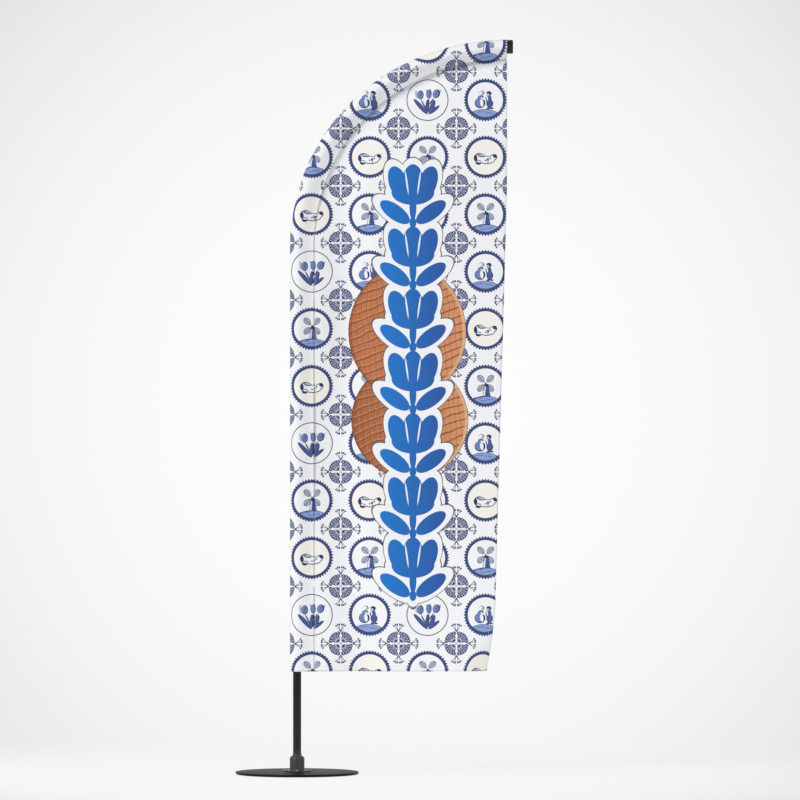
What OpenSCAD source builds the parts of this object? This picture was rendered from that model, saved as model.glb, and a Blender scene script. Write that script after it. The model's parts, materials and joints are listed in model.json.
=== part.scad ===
// Feather flag on a plug-together pole, standing on a turning hub and a flat round base.
// Millimetres, +Z up. The origin is on the pole's axis at floor level.
// The flag flies towards +X and its front faces -Y.

/* [Base] */
// Diameter of the round steel base plate
base_d = 390; // [340:10:450]
// Thickness of the base plate
base_t = 6; // [5:1:8]
// Thickness of the rubber mat under the plate
mat_t = 2; // [1:0.5:3]
// How far the mat's rim stands in from the plate's rim
mat_inset = 3; // [2:1:8]

/* [Hub] */
// Diameter of the hub's foot flange
flange_d = 90; // [88:1:110]
// Thickness of the foot flange
flange_t = 4; // [3:0.5:5]
// Diameter of the hub's body
hub_d = 47; // [44:1:52]
// Height of the hub's cylindrical body above the base plate
hub_body_h = 40; // [38:1:44]
// Full height of the hub above the base plate
hub_h = 57; // [56:1:62]
// Radius of the hub's rounded shoulder
shoulder_r = 9.5; // [8:0.5:9.5]
// Diameter of the circle through the flange bolts
bolt_circle_d = 74; // [68:1:74]
// Number of flange bolts
bolt_count = 4; // [3:1:6]
// Thread diameter of the flange bolts
bolt_d = 6; // [5:1:6]

/* [Bearings] */
// Bore of each ball bearing
bearing_bore_d = 12; // [12]
// Outer diameter of each ball bearing
bearing_d = 28; // [28]
// Width of each ball bearing
bearing_w = 8; // [8]
// Diameter of the bearing balls
ball_d = 4.76; // [4.5:0.01:4.8]
// Number of balls in each bearing
ball_count = 8; // [6:1:8]
// Height of the lower bearing's underside above the base plate
bearing_lift = 12; // [12]
// Gap between the two bearings, filled by the spacers
bearing_gap = 12; // [11:0.5:12]

/* [Spindle] */
// Height of the collar that the pole stands on
collar_h = 9.5; // [6:0.5:14]
// Length of the spigot that enters the pole
spigot_l = 150; // [120:10:200]

/* [Pole] */
// Outer diameter of the lowest pole tube
pole_d = 26; // [26]
// Bore of the lowest pole tube
pole_bore_d = 21; // [21]
// Height of the lowest tube's top end
lower_top = 850; // [700:10:1000]
// Height of the second tube's top end
middle_top = 1600; // [1450:10:1600]
// How far each section plugs into the one below
plug_l = 80; // [60:5:120]
// Height at which the pole starts to bend
bend_z = 1667; // [1666:0.5:1668]
// Height of the bent pole's level end
tip_z = 2304; // [2303:0.5:2305]
// Distance from the pole's axis to the bent pole's end
tip_x = 665; // [664:0.1:666]
// Radius of the bend's upper stretch
tip_r = 700; // [698:0.1:702]

/* [Flag] */
// Height of the flag's bottom edge
flag_bottom = 325; // [250:5:400]
// Outer diameter of the pole sleeve
sleeve_d = 45; // [44:0.5:48]
// Wall of the pole sleeve
sleeve_wall = 1.2; // [0.8:0.2:1.4]
// Thickness of the flag panel
panel_t = 1.2; // [0.8:0.1:1.6]
// Thickness of the doubled hems
hem_t = 1.8; // [1.7:0.1:2.4]
// Width of the hems
hem_w = 18; // [12:1:25]
// Width of the flag at its bottom edge, from the pole's axis
bottom_x = 622; // [600:1:650]
// Height below which the free edge runs inwards
taper_z = 1850; // [1700:10:2000]
// Depth of the cloth's soft upright fold
fold_depth = 9; // [0:0.5:12]

/* [Tip cap] */
// Diameter of the end cap
cap_d = 44; // [42:0.5:44]
// Length of the end cap's visible head
cap_l = 19; // [14:1:24]
// Length of the plug that enters the sleeve
cap_plug_l = 25; // [15:1:30]

/* [Hidden] */
$fn = 96;
running_gap = 0.05;

plate_z = mat_t;
plate_top = mat_t + base_t;
plate_edge_r = 1;

flange_top = plate_top + flange_t;
hub_shoulder_z = plate_top + hub_body_h;
hub_top = plate_top + hub_h;
neck_r = 13.8;
shoulder_x = hub_d / 2 - shoulder_r;
shoulder_deg = 55;
neck_bore_r = 11;
bolt_head_r = 5.25;
bolt_head_h = 3.3;
bolt_socket_r = 2.3;
bolt_socket_depth = 2;
bolt_end_z = plate_z + 1;
bolt_hole_r = bolt_d / 2 + 0.4;

bearing_r = bearing_d / 2;
bearing_z1 = plate_top + bearing_lift;
bearing_z2 = bearing_z1 + bearing_w + bearing_gap;
bearing_top = bearing_z2 + bearing_w;
shaft_r = bearing_bore_d / 2;
pitch_r = (bearing_r + shaft_r) / 2;
inner_land_r = 8.5;
outer_land_r = 11.5;
race_r = ball_d / 2 + running_gap;
cage_wall = 1.2;
cage_h = 3.4;
spacer_wall = 2;
circlip_t = 1.2;
circlip_in_r = 12.2;
circlip_out_r = 14.6;
circlip_z = bearing_z1 - circlip_t - 0.1;
circlip_deg = 320;
washer_t = 1.5;
washer_z = bearing_z1 - washer_t;
nut_h = 5.5;
nut_z = washer_z - nut_h;
nut_r = 10.4;
shaft_end_z = nut_z - 1;

stem_r = 8;
spindle_collar_z = hub_top + 0.5;
pole_z = spindle_collar_z + collar_h;
pole_r = pole_d / 2;
pole_bore_r = pole_bore_d / 2;
spigot_r = pole_bore_r - running_gap;
edge = 0.8;
o_ring_r = 1;
o_ring_lifts = [spigot_l * 0.2, spigot_l * 0.8];
groove_depth = 2.1;
seal_h = 4;
seal_z = hub_top - seal_h - 1;

middle_r = pole_bore_r - running_gap;
middle_bore_r = 7.6;
bend_tube_r = middle_bore_r - running_gap;
bend_bore_r = 5.3;
tip_rod_r = bend_bore_r - running_gap;
ferrule_l = 24;

// The bend is two arcs that meet smoothly: a tighter one, then a flatter one that ends level.
bend_rise = tip_z - bend_z;
bend_r = (pow(tip_x, 2) + pow(bend_rise, 2) - 2 * bend_rise * tip_r) / (2 * (tip_x - tip_r));
bend_centre = [bend_r, bend_z];
tip_centre = [tip_x, tip_z - tip_r];
join_exact = atan2(bend_centre[1] - tip_centre[1], bend_centre[0] - tip_centre[0]);
join_deg = round(join_exact * 1000) / 1000;
plug_deg = plug_l / bend_r * 180 / PI;
ferrule_deg = ferrule_l / tip_r * 180 / PI;

sleeve_r = sleeve_d / 2;
seam_gap = 0.2;
panel_offset = sleeve_r + seam_gap;
panel_run = tip_x - panel_offset;
fold_bias = 0.75;
fold_steps = 36;
far = 900;

cap_r = cap_d / 2;
cap_edge = 2;
cap_plug_r = 17;
cap_bore_r = 6.2;
cap_bore_end = 2;

strap_w = 16;
strap_t = 1;
strap_y = 18.4;
strap_top = flag_bottom + 75;
collar_z = flag_bottom + 7;
collar_l = 16;
collar_r = 17.5;
peg_z = collar_z + collar_l / 2;
peg_r = 2.5;
peg_head_r = 4;
screw_r = 2;

// ---- Shared shapes ----

// A plain tube standing on z.
module tube(z, h, r_out, r_in) {
    translate([0, 0, z])
        difference() {
            cylinder(h = h, r = r_out);
            translate([0, 0, -1]) cylinder(h = h + 2, r = r_in);
        }
}

// A ring's cross-section.
module ring_2d(r_out, r_in) {
    difference() {
        circle(r = r_out);
        circle(r = r_in);
    }
}

// Sweeps its child profile round a centre in the flag's plane, counted from +X towards +Z.
module arc_sweep(centre, r, start, sweep) {
    translate([centre[0], 0, centre[1]])
        rotate([90, 0, 0])
            rotate_extrude(angle = sweep, start = start)
                translate([r, 0]) children();
}

// The bend's lower stretch: all of it, or only its last part.
module lower_bend(sweep) {
    arc_sweep(bend_centre, bend_r, join_deg, sweep) children();
}

// The bend's upper stretch: all of it, or only its first part.
module upper_bend(sweep) {
    arc_sweep(tip_centre, tip_r, join_deg - sweep, sweep) children();
}

// Repeats its child round the pole's axis.
module ring_of(count) {
    for (i = [0 : count - 1]) rotate([0, 0, i * 360 / count]) children();
}

// ---- Base ----

module base_mat() {
    color("#202020") cylinder(h = mat_t, r = base_d / 2 - mat_inset);
}

module base_plate() {
    r = base_d / 2;
    color("#1c1c1e")
        difference() {
            translate([0, 0, plate_z])
                rotate_extrude()
                    polygon([
                        [0, 0], [r - plate_edge_r, 0], [r, plate_edge_r],
                        [r, base_t - plate_edge_r], [r - plate_edge_r, base_t], [0, base_t]
                    ]);
            ring_of(bolt_count)
                translate([bolt_circle_d / 2, 0, bolt_end_z - 0.5])
                    cylinder(h = base_t, r = bolt_d / 2);
        }
}

// The hub's outline: foot flange, upright body, rounded shoulder, cone and neck.
module hub_profile() {
    tangent = [
        shoulder_x + shoulder_r * cos(shoulder_deg),
        hub_shoulder_z + shoulder_r * sin(shoulder_deg)
    ];
    cone_top = tangent[1] + (tangent[0] - neck_r) / tan(shoulder_deg);
    foot_edge = 1;
    translate([0, plate_top]) square([flange_d / 2, flange_t - foot_edge]);
    translate([0, plate_top]) square([flange_d / 2 - foot_edge, flange_t]);
    translate([0, plate_top]) square([hub_d / 2, hub_body_h]);
    translate([shoulder_x, hub_shoulder_z]) circle(r = shoulder_r);
    polygon([
        [0, plate_top], [shoulder_x, plate_top], [shoulder_x, hub_shoulder_z], tangent,
        [neck_r, cone_top], [neck_r, hub_top - edge], [neck_r - edge, hub_top], [0, hub_top]
    ]);
}

module hub_housing() {
    color("#4a4b4e")
        difference() {
            rotate_extrude() hub_profile();
            translate([0, 0, plate_top - 1])
                cylinder(h = bearing_top - plate_top + 1, r = bearing_r);
            translate([0, 0, plate_top])
                cylinder(h = hub_h + 1, r = neck_bore_r);
            translate([0, 0, circlip_z - running_gap])
                cylinder(h = circlip_t + 2 * running_gap, r = circlip_out_r + running_gap);
            ring_of(bolt_count)
                translate([bolt_circle_d / 2, 0, plate_top - 1])
                    cylinder(h = flange_t + 2, r = bolt_hole_r);
        }
}

// One button-head screw at the origin of its head's seat.
module button_screw() {
    dome_r = (pow(bolt_head_r, 2) + pow(bolt_head_h, 2)) / (2 * bolt_head_h);
    difference() {
        union() {
            rotate_extrude()
                intersection() {
                    translate([0, bolt_head_h - dome_r]) circle(r = dome_r);
                    square([bolt_head_r, bolt_head_h]);
                }
            translate([0, 0, bolt_end_z - flange_top])
                cylinder(h = flange_top - bolt_end_z + 0.5, r = bolt_d / 2 - running_gap);
        }
        translate([0, 0, bolt_head_h - bolt_socket_depth])
            cylinder(h = bolt_head_h, r = bolt_socket_r, $fn = 6);
    }
}

module flange_bolts() {
    color("#8c8d90")
        ring_of(bolt_count) translate([bolt_circle_d / 2, 0, flange_top]) button_screw();
}

// ---- Bearings ----

// The groove that the balls run in.
module race_groove(z) {
    translate([0, 0, z + bearing_w / 2])
        rotate_extrude() translate([pitch_r, 0]) circle(r = race_r);
}

module outer_ring(z) {
    difference() {
        tube(z, bearing_w, bearing_r - running_gap / 2, outer_land_r);
        race_groove(z);
    }
}

module inner_ring(z) {
    difference() {
        tube(z, bearing_w, inner_land_r, shaft_r + running_gap / 2);
        race_groove(z);
    }
}

module ball_set(z) {
    ring_of(ball_count)
        translate([pitch_r, 0, z + bearing_w / 2]) sphere(r = ball_d / 2);
}

module ball_cage(z) {
    difference() {
        tube(z + (bearing_w - cage_h) / 2, cage_h, pitch_r + cage_wall / 2, pitch_r - cage_wall / 2);
        ring_of(ball_count)
            translate([pitch_r, 0, z + bearing_w / 2]) sphere(r = ball_d / 2 + running_gap);
    }
}

module lower_outer_ring() {
    color("#b8bbc0") outer_ring(bearing_z1);
}

module upper_outer_ring() {
    color("#b8bbc0") outer_ring(bearing_z2);
}

module lower_inner_ring() {
    color("#c4c7cc") inner_ring(bearing_z1);
}

module upper_inner_ring() {
    color("#c4c7cc") inner_ring(bearing_z2);
}

module lower_balls() {
    color("#e4e6ea") ball_set(bearing_z1);
}

module upper_balls() {
    color("#e4e6ea") ball_set(bearing_z2);
}

module lower_ball_cage() {
    color("#b48a3c") ball_cage(bearing_z1);
}

module upper_ball_cage() {
    color("#b48a3c") ball_cage(bearing_z2);
}

module outer_spacer() {
    color("#9a9ca0")
        tube(bearing_z1 + bearing_w, bearing_gap, bearing_r - running_gap, bearing_r - spacer_wall);
}

module inner_spacer() {
    color("#9a9ca0")
        tube(bearing_z1 + bearing_w, bearing_gap, shaft_r + spacer_wall, shaft_r + running_gap);
}

module bearing_circlip() {
    color("#6a6c70")
        translate([0, 0, circlip_z])
            rotate_extrude(angle = circlip_deg)
                translate([circlip_in_r, 0]) square([circlip_out_r - circlip_in_r, circlip_t]);
}

module dust_seal() {
    color("#1a1a1a") tube(seal_z, seal_h, neck_bore_r - running_gap, stem_r + running_gap);
}

// ---- Spindle ----

module spindle() {
    top = pole_z + spigot_l;
    color("#3c3d40")
        difference() {
            rotate_extrude()
                polygon([
                    [0, shaft_end_z], [shaft_r - edge, shaft_end_z], [shaft_r, shaft_end_z + edge],
                    [shaft_r, bearing_top], [stem_r, bearing_top], [stem_r, spindle_collar_z],
                    [pole_r - edge, spindle_collar_z], [pole_r, spindle_collar_z + edge],
                    [pole_r, pole_z - edge], [pole_r - edge, pole_z], [spigot_r, pole_z],
                    [spigot_r, top - 2 * edge], [spigot_r - 2 * edge, top], [0, top]
                ]);
            for (lift = o_ring_lifts)
                tube(pole_z + lift - o_ring_r - running_gap, 2 * (o_ring_r + running_gap),
                    spigot_r + 1, spigot_r - groove_depth);
        }
}

module spigot_o_rings() {
    color("#161616")
        for (lift = o_ring_lifts)
            translate([0, 0, pole_z + lift])
                rotate_extrude() translate([spigot_r - o_ring_r, 0]) circle(r = o_ring_r);
}

module lock_washer() {
    color("#a0a2a6") tube(washer_z, washer_t, inner_land_r - 0.1, shaft_r + running_gap);
}

module lock_nut() {
    color("#9c9ea2")
        translate([0, 0, nut_z])
            difference() {
                cylinder(h = nut_h, r = nut_r, $fn = 6);
                translate([0, 0, -1]) cylinder(h = nut_h + 2, r = shaft_r + running_gap);
            }
}

// ---- Pole ----

module lower_pole() {
    color("#1b1b1d") tube(pole_z, lower_top - pole_z, pole_r, pole_bore_r);
}

module middle_pole() {
    color("#232326")
        tube(lower_top - plug_l, middle_top - lower_top + plug_l, middle_r, middle_bore_r);
}

module bend_pole() {
    start_z = middle_top - plug_l;
    color("#2a2a2d") {
        tube(start_z, bend_z - start_z, bend_tube_r, bend_bore_r);
        lower_bend(180 - join_deg) ring_2d(bend_tube_r, bend_bore_r);
    }
}

module tip_pole() {
    color("#303034") {
        lower_bend(plug_deg) circle(r = tip_rod_r);
        upper_bend(join_deg - 90) circle(r = tip_rod_r);
    }
}

module lower_ferrule() {
    color("#9ea1a5") tube(lower_top, ferrule_l, pole_r, middle_r + running_gap);
}

module middle_ferrule() {
    color("#9ea1a5") tube(middle_top, ferrule_l, middle_r, bend_tube_r + running_gap);
}

module tip_ferrule() {
    seat_deg = 0.01;
    color("#9ea1a5")
        arc_sweep(tip_centre, tip_r, join_deg - ferrule_deg, ferrule_deg - seat_deg)
            ring_2d(bend_tube_r, tip_rod_r + running_gap);
}

module tip_cap() {
    color("#18181a")
        translate([tip_x, 0, tip_z])
            rotate([0, 90, 0])
                difference() {
                    rotate_extrude()
                        polygon([
                            [0, -cap_plug_l], [cap_plug_r - edge, -cap_plug_l],
                            [cap_plug_r, -cap_plug_l + edge], [cap_plug_r, 0], [cap_r, 0],
                            [cap_r, cap_l - cap_edge], [cap_r - cap_edge, cap_l], [0, cap_l]
                        ]);
                    translate([0, 0, -cap_plug_l - 1])
                        cylinder(h = cap_plug_l + cap_bore_end + 1, r = cap_bore_r);
                }
}

// ---- Flag ----

// How far the cloth stands behind the pole's plane at a distance from the pole.
function fold_y(x) =
    fold_depth * sin(360 * pow(max(x - panel_offset, 0) / panel_run, fold_bias));

// An upright slab of cloth that follows the fold.
module cloth_slab(t) {
    xs = [for (i = [0 : fold_steps]) panel_offset + panel_run * i / fold_steps];
    translate([0, 0, flag_bottom])
        linear_extrude(height = tip_z - flag_bottom)
            polygon(concat(
                [for (x = xs) [x, fold_y(x) - t / 2]],
                [for (i = [fold_steps : -1 : 0]) [xs[i], fold_y(xs[i]) + t / 2]]
            ));
}

// Everything on the panel's side of the sleeve, in the flag's plane.
module sail_outline() {
    join = [cos(join_deg), sin(join_deg)];
    translate([panel_offset, flag_bottom])
        square([panel_run, bend_z - flag_bottom]);
    intersection() {
        translate(bend_centre) circle(r = bend_r - panel_offset);
        polygon([
            bend_centre, [bend_r - far, bend_z], [bend_r - far, bend_z + far * join[1]],
            bend_centre + far * join
        ]);
    }
    intersection() {
        translate(tip_centre) circle(r = tip_r - panel_offset);
        polygon([
            [tip_x, tip_centre[1]], tip_centre + far * join, [tip_x, tip_centre[1] + far]
        ]);
    }
}

// The area inside the flag's free edges, moved in by dx at the side and dz at the bottom.
module edge_mask(dx, dz) {
    polygon([
        [0, flag_bottom + dz], [bottom_x - dx, flag_bottom + dz],
        [bottom_x - dx, flag_bottom], [tip_x - dx, taper_z],
        [tip_x - dx, tip_z], [0, tip_z]
    ]);
}

// Cuts the cloth slab to a flat pattern.
module cut_cloth(t) {
    intersection() {
        cloth_slab(t);
        rotate([90, 0, 0])
            linear_extrude(height = 6 * sleeve_r, center = true) children();
    }
}

module flag_panel() {
    color("#f2f3f6")
        cut_cloth(panel_t)
            intersection() {
                sail_outline();
                edge_mask(hem_w, hem_w);
            }
}

module side_hem() {
    color("#eceef2")
        cut_cloth(hem_t)
            intersection() {
                sail_outline();
                difference() {
                    edge_mask(0, 0);
                    edge_mask(hem_w, 0);
                }
            }
}

module bottom_hem() {
    color("#eceef2")
        cut_cloth(hem_t)
            intersection() {
                sail_outline();
                difference() {
                    edge_mask(hem_w, 0);
                    edge_mask(hem_w, hem_w);
                }
            }
}

module pole_sleeve() {
    inner_r = sleeve_r - sleeve_wall;
    color("#f6f7f9") {
        tube(flag_bottom, bend_z - flag_bottom, sleeve_r, inner_r);
        lower_bend(180 - join_deg) ring_2d(sleeve_r, inner_r);
        upper_bend(join_deg - 90) ring_2d(sleeve_r, inner_r);
    }
}

module tension_collar() {
    peg_head_t = 0.9;
    color("#242426")
        difference() {
            union() {
                tube(collar_z, collar_l, collar_r, pole_r + running_gap);
                translate([0, 0, peg_z])
                    rotate([90, 0, 0]) {
                        translate([0, 0, collar_r - 1])
                            cylinder(h = strap_y + strap_t - collar_r + 1.3, r = peg_r);
                        translate([0, 0, strap_y + strap_t + 0.1])
                            cylinder(h = peg_head_t, r = peg_head_r);
                    }
            }
            translate([0, 0, peg_z])
                rotate([-90, 0, 0]) cylinder(h = collar_r + 1, r = screw_r + running_gap);
        }
}

module collar_screw() {
    screw_l = collar_r - pole_r - 0.4;
    color("#8a8c90")
        translate([0, pole_r + 0.1, peg_z])
            rotate([-90, 0, 0])
                difference() {
                    cylinder(h = screw_l, r = screw_r);
                    translate([0, 0, screw_l - 1.6]) cylinder(h = 2, r = screw_r / 2, $fn = 6);
                }
}

module tension_strap() {
    strap_end = 6;
    color("#2c2c30")
        difference() {
            translate([-strap_w / 2, -strap_y - strap_t, peg_z - peg_r - strap_end])
                cube([strap_w, strap_t, strap_top - peg_z + peg_r + strap_end]);
            translate([0, 0, peg_z])
                rotate([90, 0, 0]) cylinder(h = far, r = peg_r + running_gap);
        }
}

base_mat();
base_plate();
hub_housing();
flange_bolts();
lower_outer_ring();
upper_outer_ring();
outer_spacer();
bearing_circlip();
dust_seal();
lower_ball_cage();
lower_balls();
upper_ball_cage();
upper_balls();
spindle();
lower_inner_ring();
upper_inner_ring();
inner_spacer();
lock_washer();
lock_nut();
spigot_o_rings();
lower_pole();
middle_pole();
bend_pole();
tip_pole();
lower_ferrule();
middle_ferrule();
tip_ferrule();
tip_cap();
flag_panel();
pole_sleeve();
side_hem();
bottom_hem();
tension_collar();
collar_screw();
tension_strap();
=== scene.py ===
import json
import logging
import math
from collections.abc import Callable, Iterable, Sequence
from dataclasses import dataclass
from enum import Enum

import bpy
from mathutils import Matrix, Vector, noise


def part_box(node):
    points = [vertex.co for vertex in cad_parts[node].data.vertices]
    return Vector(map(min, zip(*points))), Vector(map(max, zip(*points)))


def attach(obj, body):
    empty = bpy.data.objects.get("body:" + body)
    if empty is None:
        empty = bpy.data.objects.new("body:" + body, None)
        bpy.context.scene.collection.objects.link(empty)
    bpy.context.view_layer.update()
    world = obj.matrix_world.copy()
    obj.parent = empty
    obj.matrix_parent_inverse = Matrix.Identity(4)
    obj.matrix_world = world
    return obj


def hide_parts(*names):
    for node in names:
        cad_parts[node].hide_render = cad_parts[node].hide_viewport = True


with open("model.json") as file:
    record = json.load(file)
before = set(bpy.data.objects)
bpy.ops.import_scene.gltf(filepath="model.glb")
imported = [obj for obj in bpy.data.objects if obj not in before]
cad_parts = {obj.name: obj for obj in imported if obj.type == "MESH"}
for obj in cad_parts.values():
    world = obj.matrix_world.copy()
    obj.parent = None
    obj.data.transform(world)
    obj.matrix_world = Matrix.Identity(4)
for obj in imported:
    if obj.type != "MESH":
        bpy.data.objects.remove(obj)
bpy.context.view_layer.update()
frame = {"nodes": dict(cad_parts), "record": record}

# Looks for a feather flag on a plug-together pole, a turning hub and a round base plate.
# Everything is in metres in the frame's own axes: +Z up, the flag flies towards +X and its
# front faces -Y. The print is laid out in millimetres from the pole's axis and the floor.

log = logging.getLogger("feather_flag")

PRINT_MAP = "print"
FULL_TURN = 2 * math.pi

Colour = tuple[float, float, float]
Point = tuple[float, float, float]
Socket = bpy.types.NodeSocket
Piece = bpy.types.Object
Material = bpy.types.Material


def linear(red: int, green: int, blue: int) -> Colour:
    """Turns a display colour into the linear one that shaders use.

    Args:
        red: The display's red, from 0 to 255.
        green: The display's green, from 0 to 255.
        blue: The display's blue, from 0 to 255.

    Returns:
        The linear red, green and blue.
    """
    def one(value: int) -> float:
        """The linear value of one channel."""
        share = value / 255
        return share / 12.92 if share <= 0.04045 else ((share + 0.055) / 1.055) ** 2.4

    return one(red), one(green), one(blue)


def paler(colour: Colour, by: float) -> Colour:
    """A colour with the same amount added to each channel."""
    return tuple(channel + by for channel in colour)


def darker(colour: Colour, share: float) -> Colour:
    """A colour with each channel cut to a share of itself."""
    return tuple(channel * share for channel in colour)


def clamp(value: float, low: float = 0.0, high: float = 1.0) -> float:
    """The value kept between low and high."""
    return max(low, min(high, value))


def smooth(value: float) -> float:
    """An even S-curve from 0 to 1."""
    share = clamp(value)
    return share * share * (3 - 2 * share)


def hump(value: float) -> float:
    """A smooth bump of height 1 at 0 that dies out past -1 and 1."""
    return smooth(1 - abs(value))


# ---- Nodes -------------------------------------------------------------------------------


class Finish:
    """A new material's node tree, with short calls for the nodes that the finishes share."""

    def __init__(self, name: str, colour: Colour, roughness: float,
                 metallic: float = 0.0) -> None:
        """Makes the material and sets its plain values.

        Args:
            name: The material's name.
            colour: Its linear base colour.
            roughness: Its roughness where no pattern changes it.
            metallic: 1 for bare metal, 0 for anything else.
        """
        self.colour = colour
        self.roughness = roughness
        self.material = bpy.data.materials.new(name)
        self.material.use_nodes = True
        self.material.diffuse_color = (*colour, 1.0)
        self.tree = self.material.node_tree
        self.shader = self.tree.nodes["Principled BSDF"]
        self.set("Base Color", (*colour, 1.0))
        self.set("Roughness", roughness)
        self.set("Metallic", metallic)

    def set(self, socket: str, value: float | Sequence[float]) -> None:
        """Sets one of the shader's own sockets."""
        self.shader.inputs[socket].default_value = value

    def feed(self, socket: str, source: Socket) -> None:
        """Links a pattern to one of the shader's sockets."""
        self.tree.links.new(source, self.shader.inputs[socket])

    def node(self, kind: str, inputs: dict[str | int, object] | None = None,
             **settings: object) -> bpy.types.Node:
        """Adds a node.

        Args:
            kind: The node's type, without its ShaderNode prefix.
            inputs: A value or a socket for each named or numbered input.
            settings: The node's own properties.

        Returns:
            The new node.
        """
        made = self.tree.nodes.new("ShaderNode" + kind)
        for key, value in settings.items():
            setattr(made, key, value)
        for key, value in (inputs or {}).items():
            if isinstance(value, bpy.types.NodeSocket):
                self.tree.links.new(value, made.inputs[key])
            else:
                made.inputs[key].default_value = value
        return made

    def place(self, scale: Point = (1, 1, 1), turn: Point = (0, 0, 0)) -> Socket:
        """Gives object coordinates in metres."""
        source = self.node("TexCoord").outputs["Object"]
        return self.node(
            "Mapping", {"Vector": source, "Scale": scale, "Rotation": turn}).outputs[0]

    def grain(self, place: Socket, scale: float, detail: float = 2.0,
              rough: float = 0.5) -> Socket:
        """Gives a noise pattern from 0 to 1."""
        return self.node("TexNoise", {"Vector": place, "Scale": scale, "Detail": detail,
                                      "Roughness": rough}).outputs[0]

    def bands(self, place: Socket, scale: float, axis: str = "X", **inputs: float) -> Socket:
        """Gives a pattern of even bands."""
        return self.node("TexWave", {"Vector": place, "Scale": scale, **inputs},
                         bands_direction=axis).outputs[1]

    def spread(self, value: Socket, low: float, high: float, start: float,
               end: float) -> Socket:
        """Maps a value from low..high to start..end."""
        return self.node("MapRange", {"Value": value, "From Min": low, "From Max": high,
                                      "To Min": start, "To Max": end}).outputs[0]

    def tint(self, amount: Socket, under: Colour, over: Colour) -> None:
        """Lets the base colour go from one colour to another with a pattern.

        Args:
            amount: The pattern, from 0 to 1.
            under: The colour at 0.
            over: The colour at 1.
        """
        mixed = self.node("Mix", data_type="RGBA")
        mixed.inputs[6].default_value = (*under, 1.0)
        mixed.inputs[7].default_value = (*over, 1.0)
        self.tree.links.new(amount, mixed.inputs[0])
        self.feed("Base Color", mixed.outputs[2])

    def mottle(self, pattern: Socket, low: float, high: float, most: float,
               over: Colour) -> None:
        """Lets a second colour show where a pattern is high."""
        self.tint(self.spread(pattern, low, high, 0.0, most), self.colour, over)

    def wear(self, pattern: Socket, low: float, high: float, less: float,
             more: float) -> None:
        """Lets the roughness follow a pattern."""
        self.feed("Roughness", self.spread(pattern, low, high, self.roughness - less,
                                           self.roughness + more))

    def emboss(self, height: Socket, depth: float, strength: float = 1.0) -> None:
        """Turns a height pattern into the shader's normal."""
        bump = self.node("Bump", {"Height": height, "Distance": depth, "Strength": strength})
        self.feed("Normal", bump.outputs[0])


# ---- Finishes ----------------------------------------------------------------------------


@dataclass(frozen=True)
class Coated:
    """Powder coat or paint on metal: a fine orange peel, faint scuffs and a soft gloss."""

    name: str
    colour: Colour
    roughness: float = 0.42
    peel: float = 700.0
    peel_depth: float = 0.00006
    dust: float = 0.05
    gloss: float = 0.5

    def make(self) -> Material:
        """Makes the finish.

        Returns:
            The material.
        """
        finish = Finish(self.name, self.colour, self.roughness)
        patches = finish.grain(finish.place(), 9.0, 5.0, 0.62)
        scuffs = finish.grain(finish.place((1.0, 6.0, 1.0), (0.0, 0.0, 0.6)), 60.0, 3.0, 0.7)
        finish.mottle(patches, 0.45, 0.85, 0.6, paler(self.colour, self.dust))
        finish.wear(scuffs, 0.3, 0.75, 0.07, 0.12)
        finish.emboss(finish.grain(finish.place(), self.peel), self.peel_depth, 0.5)
        finish.set("Specular IOR Level", self.gloss)
        return finish.material


@dataclass(frozen=True)
class Turned:
    """Bare or plated metal with the fine rings that a lathe leaves."""

    name: str
    colour: Colour
    roughness: float = 0.3
    rings: float = 2600.0
    ring_depth: float = 0.00002

    def make(self) -> Material:
        """Makes the finish.

        Returns:
            The material.
        """
        finish = Finish(self.name, self.colour, self.roughness, 1.0)
        rings = finish.grain(finish.place((0.02, 0.02, 1.0)), self.rings, 2.0, 0.6)
        stains = finish.grain(finish.place(), 40.0, 4.0, 0.6)
        finish.mottle(stains, 0.35, 0.8, 0.7, darker(self.colour, 0.72))
        finish.wear(rings, 0.3, 0.7, 0.08, 0.1)
        finish.emboss(rings, self.ring_depth, 0.6)
        return finish.material


@dataclass(frozen=True)
class Polished:
    """Ground and polished bearing steel with a faint haze."""

    name: str
    colour: Colour
    roughness: float = 0.09
    haze_depth: float = 0.00001

    def make(self) -> Material:
        """Makes the finish.

        Returns:
            The material.
        """
        finish = Finish(self.name, self.colour, self.roughness, 1.0)
        haze = finish.grain(finish.place(), 300.0, 4.0, 0.6)
        finish.wear(haze, 0.3, 0.75, 0.0, 0.12)
        finish.emboss(haze, self.haze_depth, 0.3)
        return finish.material


@dataclass(frozen=True)
class Moulded:
    """Moulded plastic or rubber: a fine spark-eroded grain with slight rub marks."""

    name: str
    colour: Colour
    roughness: float = 0.5
    grain: float = 1500.0
    grain_depth: float = 0.00008
    gloss: float = 0.5

    def make(self) -> Material:
        """Makes the finish.

        Returns:
            The material.
        """
        finish = Finish(self.name, self.colour, self.roughness)
        rubs = finish.grain(finish.place(), 55.0, 4.0, 0.6)
        finish.mottle(rubs, 0.4, 0.8, 0.8, paler(self.colour, 0.02))
        finish.wear(rubs, 0.3, 0.8, 0.08, 0.1)
        finish.emboss(finish.grain(finish.place(), self.grain), self.grain_depth, 0.5)
        finish.set("Specular IOR Level", self.gloss)
        return finish.material


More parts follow.
